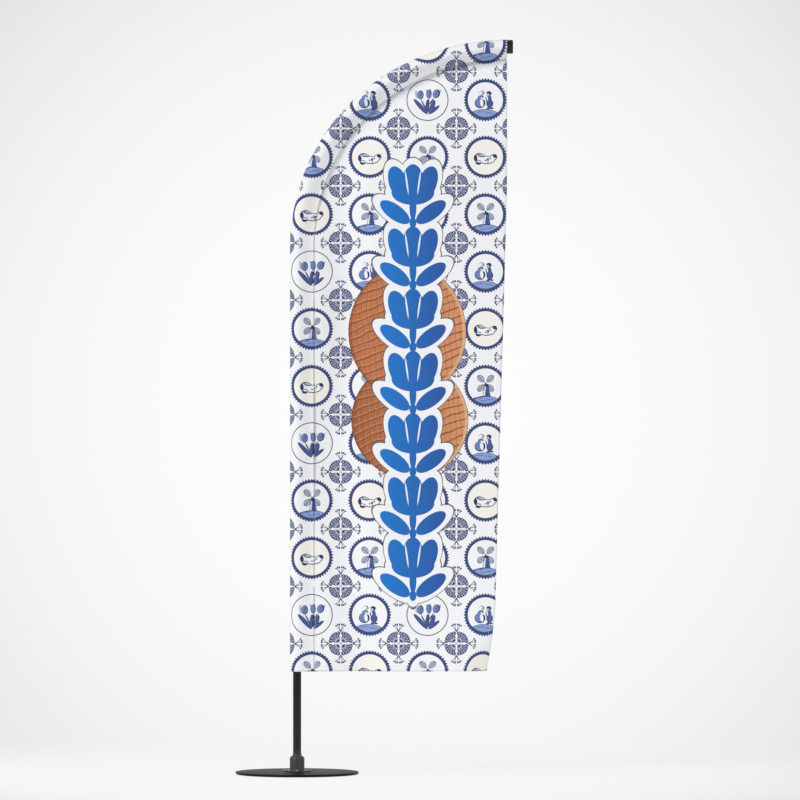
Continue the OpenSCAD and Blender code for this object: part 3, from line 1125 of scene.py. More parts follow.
class Slot(Enum):
    """The record's material slots that aren't printed cloth."""

    MAT_RUBBER = "mat_rubber"
    BASE_PAINT = "base_paint"
    HUB_PAINT = "hub_paint"
    SCREW_STEEL = "screw_steel"
    BEARING_STEEL = "bearing_steel"
    BALL_STEEL = "ball_steel"
    SPACER_ALUMINIUM = "spacer_aluminium"
    SPRING_STEEL = "spring_steel"
    SEAL_RUBBER = "seal_rubber"
    CAGE_BRASS = "cage_brass"
    SPINDLE_STEEL = "spindle_steel"
    POLE_COATING = "pole_coating"
    FIBRE_ROD = "fibre_rod"
    FERRULE_ALUMINIUM = "ferrule_aluminium"
    CAP_PLASTIC = "cap_plastic"
    COLLAR_NYLON = "collar_nylon"
    STRAP_WEBBING = "strap_webbing"


Finishes = dict[Slot, Material]


def hard_finishes() -> Finishes:
    """Makes the finish of every slot that isn't cloth.

    Returns:
        The material of each slot.
    """
    recipes = {
        Slot.MAT_RUBBER: Moulded("mat_rubber", linear(26, 26, 27), 0.78, 900.0, 0.00015, 0.3),
        Slot.BASE_PAINT: Coated("base_powder_coat", linear(18, 18, 19), 0.42, dust=0.003,
                                gloss=0.12),
        Slot.HUB_PAINT: Coated("hub_powder_coat", linear(62, 63, 66), 0.28, dust=0.010,
                               gloss=0.4),
        Slot.SCREW_STEEL: Turned("zinc_screws", linear(176, 178, 182), 0.3),
        Slot.BEARING_STEEL: Polished("ground_bearing_steel", linear(196, 199, 204), 0.12),
        Slot.BALL_STEEL: Polished("polished_balls", linear(228, 230, 234), 0.05),
        Slot.SPACER_ALUMINIUM: Turned("turned_aluminium", linear(190, 192, 196), 0.32),
        Slot.SPRING_STEEL: Turned("blued_spring_steel", linear(96, 100, 110), 0.35),
        Slot.SEAL_RUBBER: Moulded("seal_rubber", linear(24, 24, 25), 0.62, 2200.0),
        Slot.CAGE_BRASS: Turned("pressed_brass", linear(206, 168, 92), 0.3),
        Slot.SPINDLE_STEEL: Turned("black_oxide_spindle", linear(70, 70, 73), 0.34),
        Slot.POLE_COATING: Drawn("black_pole_tube", linear(12, 12, 13), linear(20, 20, 22),
                                 0.16, gloss=0.34),
        Slot.FIBRE_ROD: Drawn("black_fibre_rod", linear(34, 34, 37), linear(58, 58, 62), 0.42),
        Slot.FERRULE_ALUMINIUM: Turned("turned_ferrule", linear(182, 184, 188), 0.26),
        Slot.CAP_PLASTIC: Moulded("black_cap_plastic", linear(14, 14, 15), 0.28, gloss=0.36),
        Slot.COLLAR_NYLON: Moulded("black_nylon", linear(32, 32, 34), 0.48),
        Slot.STRAP_WEBBING: Webbing("black_webbing", linear(34, 34, 38)),
    }
    return {slot: recipe.make() for slot, recipe in recipes.items()}


def dress_cad(finishes: Finishes, cloth: Material) -> int:
    """Gives every CAD node the finish of its own slot.

    Args:
        finishes: The material of each slot.
        cloth: The flag's material.

    Returns:
        How many nodes were dressed.
    """
    known = {slot.value: material for slot, material in finishes.items()}
    parts = frame["record"]["subparts"]
    for part in parts:
        piece = frame["nodes"][part["node"]]
        piece.data.materials.clear()
        piece.data.materials.append(known.get(part["material_slot"], cloth))
    return len(parts)


# ---- The flag's shape --------------------------------------------------------------------


@dataclass(frozen=True)
class PathPlace:
    """A place on the pole's line: where it is and which way the flag lies from it."""

    x: float
    z: float
    toward_x: float
    toward_z: float

    def out(self, away: float) -> tuple[float, float]:
        """The place at a distance from the line, in the flag's plane."""
        return self.x + self.toward_x * away, self.z + self.toward_z * away


@dataclass(frozen=True)
class PolePath:
    """The line of the pole inside the sleeve: upright, then two arcs that end level."""

    low: float
    tip_x: float
    tip_z: float
    bend_z: float = 1.667
    tip_radius: float = 0.700

    @property
    def bend_radius(self) -> float:
        """The radius of the bend's lower arc, which makes the arcs meet smoothly."""
        rise = self.tip_z - self.bend_z
        top = self.tip_x ** 2 + rise ** 2 - 2 * rise * self.tip_radius
        return top / (2 * (self.tip_x - self.tip_radius))

    @property
    def join(self) -> float:
        """The angle at which the arcs meet, counted from +X towards +Z."""
        return math.atan2(self.bend_z - self.tip_z + self.tip_radius,
                          self.bend_radius - self.tip_x)

    @property
    def straight(self) -> float:
        """The length of the upright stretch."""
        return self.bend_z - self.low

    @property
    def lower_arc(self) -> float:
        """The length of the bend's lower arc."""
        return self.bend_radius * (math.pi - self.join)

    @property
    def length(self) -> float:
        """The whole line's length."""
        return self.straight + self.lower_arc + self.tip_radius * (self.join - math.pi / 2)

    def at(self, run: float) -> PathPlace:
        """Finds a place on the line.

        Args:
            run: How far along the line it is from the flag's bottom.

        Returns:
            The place.
        """
        if run <= self.straight:
            return PathPlace(0.0, self.low + run, 1.0, 0.0)
        rest = run - self.straight
        if rest <= self.lower_arc:
            turn, radius = math.pi - rest / self.bend_radius, self.bend_radius
            middle = (self.bend_radius, self.bend_z)
        else:
            radius = self.tip_radius
            turn = self.join - (rest - self.lower_arc) / radius
            middle = (self.tip_x, self.tip_z - radius)
        cos, sin = math.cos(turn), math.sin(turn)
        return PathPlace(middle[0] + radius * cos, middle[1] + radius * sin, -cos, -sin)


@dataclass(frozen=True)
class Fold:
    """A smooth fold: its depth, where its middle lies and how far it reaches either way."""

    depth: float
    middle: float
    reach: float

    def at(self, place: float, shift: float = 0.0) -> float:
        """The fold's depth at a place, with its middle moved by shift."""
        return self.depth * hump((place - self.middle - shift) / self.reach)


@dataclass(frozen=True)
class Ripple:
    """Uneven waves: their height, how close they lie both ways, and which waves they are."""

    height: float
    across: float
    along: float
    kind: float
    start: float = 0.0

    def at(self, across: float, along: float) -> float:
        """The waves' depth at a place."""
        place = Vector((self.across * across + self.start, self.kind, self.along * along))
        return self.height * noise.noise(place)


@dataclass(frozen=True)
class ClothPlace:
    """A place on the cloth: where it is in space, and its place on the flat print."""

    place: Vector
    flat: tuple[float, float]


@dataclass(frozen=True)
class SailShape:
    """How the sail hangs: its outline, its folds and the corner that curls away."""

    path: PolePath
    sleeve_radius: float
    bottom_reach: float
    taper_z: float = 1.850
    seam_low: float = 0.050
    seam_tip: float = 0.036
    seam_back_low: float = -0.003
    seam_back_tip: float = 0.019
    seam_reach: float = 0.085
    fold_change_z: float = 0.85
    fold_change: float = 0.5
    valley: Fold = Fold(0.017, 0.028, 0.100)
    valley_out: float = 0.077
    valley_loss: float = 0.45
    tip_fold: Fold = Fold(0.017, 0.006, 0.095)
    low_valley: Fold = Fold(0.019, 0.105, 0.100)
    low_ridge: Fold = Fold(-0.0035, 0.240, 0.120)
    slant: float = 0.100
    slant_top: float = 1.115
    slant_height: float = 0.72
    billow: Fold = Fold(0.0045, 0.30, 0.20)
    billow_sway: float = 0.10
    wave: Ripple = Ripple(0.0065, 3.1, 1.9, 0.6, 1.7)
    crease: Ripple = Ripple(0.0016, 11.0, 5.2, 4.2)
    wave_start: float = 0.12
    pucker: Ripple = Ripple(0.0011, 8.0, 34.0, 9.1)
    pucker_place: Fold = Fold(1.0, 0.012, 0.05)
    flutter: float = 0.0022
    flutter_reach: float = 0.16
    side_pucker: Ripple = Ripple(0.0007, 2.0, 46.0, 7.7)
    side_pucker_reach: float = 0.035
    low_pucker: Ripple = Ripple(0.0009, 40.0, 1.0, 3.3)
    low_pucker_reach: float = 0.04
    sleeve_loose: Ripple = Ripple(0.010, 1.3, 9.0, 0.0)
    sleeve_pucker: Ripple = Ripple(0.0010, 1.0, 60.0, 5.5)
    curl_back: float = 0.045
    curl_in: float = 0.021
    curl_wide: float = 0.125
    curl_tall: float = 0.200
    tuck: float = 0.004
    least_width: float = 0.0004

    def bent(self, run: float) -> float:
        """How far up the bend a place is, from 0 on the upright to 1 at the tip."""
        return clamp((run - self.path.straight) / (self.path.length - self.path.straight))

    def seam(self, run: float) -> tuple[float, float]:
        """Where the sleeve's seam lies."""
        share = smooth(self.bent(run) * 1.1)
        return (self.seam_low + (self.seam_tip - self.seam_low) * share,
                self.seam_back_low + (self.seam_back_tip - self.seam_back_low) * share)

    def free_height(self, run: float) -> float:
        """Finds the height of the free edge across from a place on the pole's line.

        Args:
            run: The place along the pole's line.

        Returns:
            The height.
        """
        path = self.path
        if run <= path.straight:
            return path.low + run
        share = self.bent(run)
        rise = path.tip_z - self.seam_tip - path.bend_z
        start = min(1.8, (path.length - path.straight) / rise)
        return path.bend_z + rise * (start * share + (1 - start) * share * share)

    def free_edge(self, z: float) -> float:
        """How far out the free edge is at a height."""
        fall = clamp((self.taper_z - z) / (self.taper_z - self.path.low))
        return self.path.tip_x - (self.path.tip_x - self.bottom_reach) * fall

    def folds(self, x: float, z: float, run: float, past: float) -> float:
        """Gives the depth of the wide folds.

        Args:
            x: The place across the flag.
            z: The place's height.
            run: Its place along the pole's line.
            past: Its distance from the sleeve's seam.

        Returns:
            The depth in metres, positive away from the front.
        """
        bent = self.bent(run)
        upper = smooth((z - self.fold_change_z) / self.fold_change)
        slant = self.slant * clamp((self.slant_top - z) / self.slant_height)
        out = self.valley_out * (1 - smooth(3 * bent))
        depth = upper * (1 - self.valley_loss * bent) * self.valley.at(past, out)
        depth += smooth(bent * 1.6 - 0.55) * self.tip_fold.at(past)
        depth += (1 - upper) * (self.low_valley.at(x, slant) + self.low_ridge.at(x, slant))
        sway = self.billow_sway * math.sin(2.3 * z)
        return depth + self.billow.at(x, sway) * math.sin(2.1 * z)

    def depth(self, x: float, z: float, run: float, away: float) -> float:
        """Gives how far behind the pole's plane the cloth lies.

        Args:
            x: The place across the flag.
            z: The place's height.
            run: Its place along the pole's line.
            away: Its distance from that line.

        Returns:
            The depth in metres, positive away from the front.
        """
        seam, back = self.seam(run)
        past, edge = away - seam, self.free_edge(z) - x
        grown = smooth(past / self.wave_start)
        depth = back * (1 - smooth(past / self.seam_reach)) + self.folds(x, z, run, past)
        depth += grown * (self.wave.at(x, z) + self.crease.at(x, z))
        depth += self.pucker.at(past, run) * self.pucker_place.at(past)
        flutter = self.flutter * math.sin(z * 17.0 + 1.3 * math.sin(4.0 * z))
        depth += flutter * (1 - smooth(edge / self.flutter_reach)) * smooth(past / 0.10)
        depth += self.side_pucker.at(1.0, z) * (1 - smooth(edge / self.side_pucker_reach))
        above = (z - self.path.low) / self.low_pucker_reach
        return depth + self.low_pucker.at(x, 1.0) * (1 - smooth(above)) * grown

    def curl(self, x: float, z: float) -> tuple[float, float]:
        """Gives how the lower corner curls away.

        Args:
            x: The place across the flag.
            z: The place's height.

        Returns:
            How far it goes back, and how far it draws in.
        """
        off = (self.bottom_reach - x) / self.curl_wide + (z - self.path.low) / self.curl_tall
        share = clamp(1 - off)
        return self.curl_back * share * share, self.curl_in * share ** 1.5

    def sail_place(self, run: float, share: float, behind: float = 0.0,
                   tucked: bool = False) -> ClothPlace:
        """Finds a place on the sail.

        Args:
            run: The place along the pole's line.
            share: From 0 at the sleeve's seam to 1 at the free edge.
            behind: How far behind the cloth it lies.
            tucked: True for the edge that is sewn between the sleeve's two layers.

        Returns:
            The place.
        """
        seam = self.seam(run)[0] - (self.tuck if tucked else 0.0)
        left = self.path.at(run).out(seam)
        height = self.free_height(run)
        right = (max(self.free_edge(height), left[0] + self.least_width), height)
        x = left[0] + (right[0] - left[0]) * share
        z = left[1] + (right[1] - left[1]) * share
        width = math.hypot(right[0] - left[0], right[1] - left[1])
        depth = self.depth(x, z, run, seam + width * share)
        back, inward = self.curl(x, z)
        return ClothPlace(Vector((x - inward, depth + back + behind, z)), (x, z))

    def width(self, run: float) -> float:
        """How wide the sail is at a place along the pole's line."""
        seam_x, seam_z = self.path.at(run).out(self.seam(run)[0])
        height = self.free_height(run)
        return math.hypot(self.free_edge(height) - seam_x, height - seam_z)

    def sleeve_place(self, run: float, turn: float) -> ClothPlace:
        """Finds a place on the sleeve.

        Args:
            run: The place along the pole's line.
            turn: The angle round the sleeve, from 0 at the seam over the front.

        Returns:
            The place.
        """
        line = self.path.at(run)
        seam, back = self.seam(run)
        radius = self.sleeve_radius
        cos, sin = math.cos(turn), math.sin(turn)
        tail = max(cos, 0.0)
        waves = Vector((self.sleeve_loose.across * cos, self.sleeve_loose.across * sin,
                        self.sleeve_loose.along * run))
        loose = 1 + self.sleeve_loose.height * noise.noise(waves)
        out = (radius * cos + (seam - radius) * tail ** 3) * (loose if tail == 0 else 1.0)
        depth = -radius * sin * (1 - tail ** 4) * loose + back * tail ** 2
        depth += self.sleeve_pucker.at(1.0, run) * tail ** 2 * (1 - tail ** 6)
        front = turn <= math.pi / 2
        flat = line.out(out if front else -radius * (turn - math.pi / 2))
        x, z = line.out(out)
        return ClothPlace(Vector((x, depth, z)), flat)


# ---- Cloth pieces ------------------------------------------------------------------------


def alone() -> None:
    """Leaves edit mode and deselects everything."""
    if bpy.context.object and bpy.context.object.mode != "OBJECT":
        bpy.ops.object.mode_set(mode="OBJECT")
    bpy.ops.object.select_all(action="DESELECT")


def pick(piece: Piece) -> None:
    """Selects one piece alone and makes it the active one."""
    alone()
    piece.select_set(True)
    bpy.context.view_layer.objects.active = piece


def settle(piece: Piece) -> None:
    """Puts a piece's place and turn into its mesh."""
    pick(piece)
    bpy.ops.object.transform_apply(location=True, rotation=True, scale=True)


def finish_modifiers(piece: Piece) -> None:
    """Applies every modifier on a piece, in order."""
    pick(piece)
    for modifier in list(piece.modifiers):
        bpy.ops.object.modifier_apply(modifier=modifier.name)


def soften(piece: Piece, degrees: float = 35.0) -> None:
    """Shades a piece smoothly where its faces meet at less than an angle."""
    pick(piece)
    bpy.ops.object.shade_smooth_by_angle(angle=math.radians(degrees))


def new_piece(name: str, corners: Sequence[Vector], faces: Sequence[tuple[int, ...]]) -> Piece:
    """Makes a piece from its corners and faces.

    Args:
        name: Its name.
        corners: Its corners.
        faces: Each face's corners by number.

    Returns:
        The piece.
    """
    mesh = bpy.data.meshes.new(name)
    mesh.from_pydata(corners, [], faces)
    mesh.update()
    piece = bpy.data.objects.new(name, mesh)
    bpy.context.scene.collection.objects.link(piece)
    return piece


def smooth_faces(piece: Piece) -> None:
    """Shades every face of a piece smoothly."""
    for face in piece.data.polygons:
        face.use_smooth = True


def cloth_grid(name: str, rows: int, columns: int, place: Callable[[int, int], ClothPlace],
               thickness: float, round_tube: bool = False) -> Piece:
    """Lays a grid of cloth and gives it its thickness and its flat print coordinates.

    Args:
        name: The piece's name.
        rows: How many cells there are up the cloth.
        columns: How many cells there are across it.
        place: Finds a corner from its row and column.
        thickness: The cloth's thickness, which goes to its back.
        round_tube: True where the last column closes on the first.

    Returns:
        The piece.
    """
    across = columns if round_tube else columns + 1
    grid = [[place(row, column) for column in range(columns + 1)] for row in range(rows + 1)]
    faces, flats = [], []
    for row in range(rows):
        for column in range(columns):
            corners = ((row, column), (row, column + 1), (row + 1, column + 1),
                       (row + 1, column))
            faces.append(tuple(up * across + over % across for up, over in corners))
            flats += [grid[up][over].flat for up, over in corners]
    piece = new_piece(name, [spot.place for line in grid for spot in line[:across]], faces)
    for loop, flat in zip(piece.data.uv_layers.new(name=PRINT_MAP).data, flats):
        loop.uv = flat
    wall = piece.modifiers.new("cloth thickness", "SOLIDIFY")
    wall.thickness = thickness
    wall.offset = -1.0
    wall.use_even_offset = True
    finish_modifiers(piece)
    smooth_faces(piece)
    return piece


def dress(piece: Piece, material: Material, body: str) -> None:
    """Gives a piece its finish and its body.

    Args:
        piece: The piece.
        material: Its finish.
        body: The CAD body that it moves with.
    """
    piece.data.materials.clear()
    piece.data.materials.append(material)
    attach(piece, body)


@dataclass(frozen=True)
class StitchPlace:
    """Where one stitch lies: its middle, the way it runs and the way its cloth faces."""

    middle: Vector
    along: Vector
    out: Vector


@dataclass(frozen=True)
class Stitch:
    """One lock stitch of the flag's thread."""

    length: float = 0.0030
    thick: float = 0.0007
    pitch: float = 0.0042
    straight_share: float = 0.6
    end_thinning: float = 0.35
    lift_share: float = 0.15
    sides: int = 6

    def model(self) -> tuple[list[Vector], list[tuple[int, ...]]]:
        """Models one stitch along +X with its cloth side down.

        Returns:
            Its corners and its faces.
        """
        alone()
        bpy.ops.mesh.primitive_cylinder_add(vertices=self.sides, radius=self.thick / 2,
                                            depth=self.length * self.straight_share,
                                            rotation=(0.0, math.pi / 2, 0.0))
        sample = bpy.context.object
        bpy.ops.object.mode_set(mode="EDIT")
        bpy.ops.mesh.select_mode(type="FACE")
        taper = self.length * (1 - self.straight_share) / 2
        for side in (-1, 1):
            bpy.ops.mesh.select_all(action="DESELECT")
            bpy.ops.object.mode_set(mode="OBJECT")
            for face in sample.data.polygons:
                face.select = len(face.vertices) == self.sides and face.center.z * side > 0
            bpy.ops.object.mode_set(mode="EDIT")
            bpy.ops.mesh.extrude_region_move(
                TRANSFORM_OT_translate={"value": (side * taper, 0.0, 0.0)})
            bpy.ops.transform.resize(value=(1.0, self.end_thinning, self.end_thinning))
        bpy.ops.object.mode_set(mode="OBJECT")
        settle(sample)
        corners = [vertex.co.copy() for vertex in sample.data.vertices]
        faces = [tuple(face.vertices) for face in sample.data.polygons]
        mesh = sample.data
        bpy.data.objects.remove(sample)
        bpy.data.meshes.remove(mesh)
        return corners, faces

    def sew(self, name: str, places: Iterable[StitchPlace]) -> Piece:
        """Sews a row of stitches.

        Args:
            name: The piece's name.
            places: Where the stitches lie.

        Returns:
            The row as one piece.
        """
        corners, faces = self.model()
        lift = self.thick * self.lift_share
        all_corners: list[Vector] = []
        all_faces: list[tuple[int, ...]] = []
        for spot in places:
            start = len(all_corners)
            side = spot.out.cross(spot.along).normalized()
            all_corners += [spot.middle + spot.along * corner.x + side * corner.y
                            + spot.out * (corner.z + lift) for corner in corners]
            all_faces += [tuple(start + index for index in face) for face in faces]
        row = new_piece(name, all_corners, all_faces)
        smooth_faces(row)
        return row


def sewn_line(place: Callable[[float], Vector], length: float,
              pitch: float) -> list[StitchPlace]:
    """Spaces stitches along a line on the flag's front.

    Args:
        place: Finds the line's place at a length.
        length: The line's length.
        pitch: The distance between stitches.

    Returns:
        The stitches' places.
    """
    front, step = Vector((0.0, -1.0, 0.0)), 0.001
    spots = []
    for index in range(1, int(length / pitch)):
        here, after = place(index * pitch), place(index * pitch + step)
        along = (after - here).normalized()
        facing = (front - along * front.dot(along)).normalized()
        spots.append(StitchPlace(here, along, facing))
    return spots


# ---- The sail, its sleeve and its strap --------------------------------------------------


@dataclass(frozen=True)
class Sail:
    """The printed panel with its side hem, its bottom hem and their stitching."""

    shape: SailShape
    cloth: Material
    thread: Material
    thickness: float = 0.0006
    hem: float = 0.018
    hem_stitch_in: float = 0.003
    hem_puff: float = 0.0004
    hem_steps: int = 4
    seam_stitches: tuple[float, float] = (0.003, 0.0085)
    least_width: float = 0.03
    rows: int = 290
    columns: int = 104
    fine_share: float = 0.55
    stitch: Stitch = Stitch()

    def run_of(self, row: int) -> float:
        """The place along the pole's line of a grid row, just short of the tip at the last."""
        return self.shape.path.length * 0.9985 * row / self.rows

    def share_of(self, column: int) -> float:
        """The share across the sail of a grid column, with finer columns near the sleeve."""
        share = column / self.columns
        return share * (self.fine_share + (1 - self.fine_share) * share)

    def panel(self) -> Piece:
        """Makes the panel: one curved sheet from the sleeve's seam to the free edge.

        Returns:
            The piece.
        """
        piece = cloth_grid(
            "sail_panel", self.rows, self.columns,
            lambda row, column: self.shape.sail_place(
                self.run_of(row), self.share_of(column), tucked=column == 0),
            self.thickness)
        dress(piece, self.cloth, "pole")
        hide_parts("flag_panel")
        return piece

    def side_hem(self) -> Piece:
        """Makes the free edge, folded back on itself.

        Returns:
            The piece.
        """
        steps, last = self.hem_steps, self.shape.path.length * 0.93

        def place(row: int, column: int) -> ClothPlace:
            """Finds one corner of the hem.

            Args:
                row: Its row, from the bottom.
                column: Its column, from the fold's inner edge.

            Returns:
                Its place.
            """
            run = last * row / self.rows
            inward = self.hem * (1 - column / steps)
            share = clamp(1 - inward / max(self.shape.width(run), self.least_width))
            puff = self.hem_puff * math.sin(math.pi * column / steps)
            return self.shape.sail_place(run, share, self.thickness + 0.0001 + puff)

        piece = cloth_grid("side_hem_fold", self.rows, steps, place, self.thickness)
        dress(piece, self.cloth, "pole")
        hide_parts("side_hem")
        return piece

    def bottom_hem(self) -> Piece:
        """Makes the bottom edge, folded back on itself.

        Returns:
            The piece.
        """
        steps = self.hem_steps

        def place(row: int, column: int) -> ClothPlace:
            """Finds one corner of the hem."""
            puff = self.hem_puff * math.sin(math.pi * row / steps)
            return self.shape.sail_place(self.hem * row / steps, self.share_of(column) * 0.999,
                                         2 * self.thickness + 0.0012 + puff)

        piece = cloth_grid("bottom_hem_fold", steps, self.columns, place, self.thickness)
        dress(piece, self.cloth, "pole")
        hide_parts("bottom_hem")
        return piece

    def beside_edge(self, run: float) -> Vector:
        """A place on the side hem's stitch line."""
        width = max(self.shape.width(run), self.least_width)
        return self.shape.sail_place(run, 1 - (self.hem - self.hem_stitch_in) / width).place

    def above_bottom(self, out: float) -> Vector:
        """A place on the bottom hem's stitch line."""
        share = clamp(out / self.shape.width(0.0))
        return self.shape.sail_place(self.hem - self.hem_stitch_in, share).place

    def beside_seam(self, out: float) -> Callable[[float], Vector]:
        """The line at a distance beside the sleeve's seam."""
        shape = self.shape
        return lambda run: shape.sail_place(
            run, out / max(shape.width(run), self.least_width)).place

    def stitches(self) -> list[Piece]:
        """Sews the rows of thread along both hems and the sleeve's seam.

        Returns:
            The rows.
        """
        length, pitch = self.shape.path.length, self.stitch.pitch
        inner, outer = (self.beside_seam(out) for out in self.seam_stitches)
        rows = {
            "side_hem_stitches": sewn_line(self.beside_edge, length * 0.925, pitch),
            "bottom_hem_stitches": sewn_line(self.above_bottom, self.shape.width(0.0), pitch),
            "seam_stitches": (sewn_line(inner, length * 0.97, pitch)
                              + sewn_line(outer, length * 0.95, pitch)),
        }
        pieces = [self.stitch.sew(name, places) for name, places in rows.items()]
        for row in pieces:
            dress(row, self.thread, "pole")
        return pieces

    def area(self) -> float:
        """Sums the panel's flat area over its print coordinates.

        Returns:
            The area in square metres.
        """
        steps, total = 400, 0.0
        lines = [[self.shape.sail_place(self.shape.path.length * step / steps, share).flat
                  for share in (0.0, 1.0)] for step in range(steps + 1)]
        for (low, far_low), (high, far_high) in zip(lines, lines[1:]):
            corners = (low, far_low, far_high, high)
            total += 0.5 * sum(a[0] * b[1] - b[0] * a[1]
                               for a, b in zip(corners, corners[1:] + corners[:1]))
        return total

    def build(self) -> list[Piece]:
        """Returns:
            Its pieces.
        """
        panel = self.panel()
        hems = [self.side_hem(), self.bottom_hem()]
        rows = self.stitches()
        self.area()
        hems + rows
        return [panel, *hems, *rows]


@dataclass(frozen=True)
class Sleeve:
    """The pole pocket: printed cloth wrapped round the pole and sewn to the panel."""

    shape: SailShape
    cloth: Material
    thread: Material
    thickness: float = 0.0006
    rows: int = 300
    columns: int = 44
    hem: float = 0.022
    hem_steps: int = 4
    hem_in: float = 0.0011
    hem_stitch_in: float = 0.004
    measured_at: float = 0.5
    stitch: Stitch = Stitch()

    def tube(self) -> Piece:
        """Makes the pocket itself.

        Returns:
            The piece.
        """
        length = self.shape.path.length
        piece = cloth_grid(
            "sleeve_pocket", self.rows, self.columns,
            lambda row, column: self.shape.sleeve_place(
                length * row / self.rows, FULL_TURN * column / self.columns),
            self.thickness, True)
        dress(piece, self.cloth, "pole")
        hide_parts("pole_sleeve")
        return piece

    def bottom_fold(self) -> Piece:
        """Makes the pocket's lower end, turned up inside.

        Returns:
            The piece.
        """
        def place(row: int, column: int) -> ClothPlace:
            """Finds one corner of the fold.

            Args:
                row: Its row, from the bottom.
                column: Its column round the pocket.

            Returns:
                Its place.
            """
            spot = self.shape.sleeve_place(self.hem * row / self.hem_steps,
                                           FULL_TURN * column / self.columns)
            inward = Vector((0.0, 0.0, spot.place.z)) - spot.place
            return ClothPlace(spot.place + inward.normalized() * self.hem_in, spot.flat)

        piece = cloth_grid("sleeve_hem_fold", self.hem_steps, self.columns, place,
                           self.thickness, True)
        dress(piece, self.cloth, "pole")
        return piece

    def stitches(self) -> Piece:
        """Sews the thread round the pocket's lower end.

        Returns:
            The row.
        """
        spots, run, step = [], self.hem - self.hem_stitch_in, 0.02
        count = int(FULL_TURN * self.shape.sleeve_radius / self.stitch.pitch)
        for index in range(count):
            angle = FULL_TURN * (index + 0.5) / count
            here = self.shape.sleeve_place(run, angle).place
            along = (self.shape.sleeve_place(run, angle + step).place - here).normalized()
            spots.append(StitchPlace(here, along, along.cross(Vector((0.0, 0.0, 1.0)))))
        row = self.stitch.sew("sleeve_hem_stitches", spots)
        dress(row, self.thread, "pole")
        return row

    def girth(self) -> float:
        """Measures the length of cloth round the pocket.

        Returns:
            The length.
        """
        steps = 90
        places = [self.shape.sleeve_place(self.measured_at, FULL_TURN * step / steps).place
                  for step in range(steps + 1)]
        return sum((after - here).length for here, after in zip(places, places[1:]))

    def build(self) -> list[Piece]:
        """Returns:
            Its pieces.
        """
        tube, fold, row = self.tube(), self.bottom_fold(), self.stitches()
        self.girth()
        self.shape.path.length
        return [tube, fold, row]


@dataclass(frozen=True)
class Strap:
    """The woven strap that pulls the sleeve down to the collar's peg."""

    webbing: Material
    thickness: float = 0.0011
    rows: int = 26
    columns: int = 8
    bow: float = 0.0007
    bow_height: float = 0.02
    wave: float = 0.0005
    waves: float = 5.0

    def build(self) -> list[Piece]:
        """Returns:
            Its pieces.
        """
        low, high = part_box("tension_strap")
        width, height = high[0] - low[0], high[2] - low[2]
        back_y = (low[1] + high[1] - self.thickness) / 2
        collar_low, collar_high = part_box("tension_collar")
        peg = (collar_low[2] + collar_high[2]) / 2

        def place(row: int, column: int) -> ClothPlace:
            """Finds one corner of the strap.

            Args:
                row: Its row, from the bottom.
                column: Its column, from the left.

            Returns:
                Its place.
            """
            share = row / self.rows
            x, z = width * (column / self.columns - 0.5), low[2] + height * share
            bow = self.bow * math.cos(math.pi * x / width) * smooth((z - peg) / self.bow_height)
            wave = self.wave * math.sin(self.waves * math.pi * share) * share
            return ClothPlace(Vector((x, back_y - bow + wave, z)), (x, z))

        strap = cloth_grid("strap_webbing", self.rows, self.columns, place, self.thickness)
        soften(strap, 40.0)
        dress(strap, self.webbing, "pole")
        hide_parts("tension_strap")
        return [strap]


# ---- Turned pieces -----------------------------------------------------------------------


@dataclass(frozen=True)
class Corner:
    """A corner of a turned part's outline, rounded with a radius."""

    out: float
    up: float
    rounding: float = 0.0


def rounded(corners: Sequence[Corner], closed: bool, steps: int = 5) -> list[tuple[float, float]]:
    """Rounds an outline's corners.

    Args:
        corners: The outline's corners in order.
        closed: True where the last corner runs on to the first.
        steps: How many short edges each rounding gets.

    Returns:
        The outline's points, each its distance from the axis and its height.
    """
    points: list[tuple[float, float]] = []
    count = len(corners)
    for index, corner in enumerate(corners):
        here = Vector((corner.out, corner.up))
        ends = not closed and index in (0, count - 1)
        if corner.rounding <= 0 or ends:
            points.append((here.x, here.y))
            continue
        before, after = corners[index - 1], corners[(index + 1) % count]
        back = Vector((before.out, before.up)) - here
        forth = Vector((after.out, after.up)) - here
        half = back.angle(forth) / 2
        reach = min(corner.rounding / math.tan(half), 0.49 * back.length, 0.49 * forth.length)
        radius = reach * math.tan(half)
        first, last = here + back.normalized() * reach, here + forth.normalized() * reach
        bisector = (back.normalized() + forth.normalized()).normalized()
        middle = here + bisector * (radius / math.sin(half))
        start = math.atan2(first.y - middle.y, first.x - middle.x)
        sweep = math.atan2(last.y - middle.y, last.x - middle.x) - start
        sweep = (sweep + math.pi) % FULL_TURN - math.pi
        for step in range(steps + 1):
            turn = start + sweep * step / steps
            points.append((middle.x + radius * math.cos(turn),
                           middle.y + radius * math.sin(turn)))
    return points


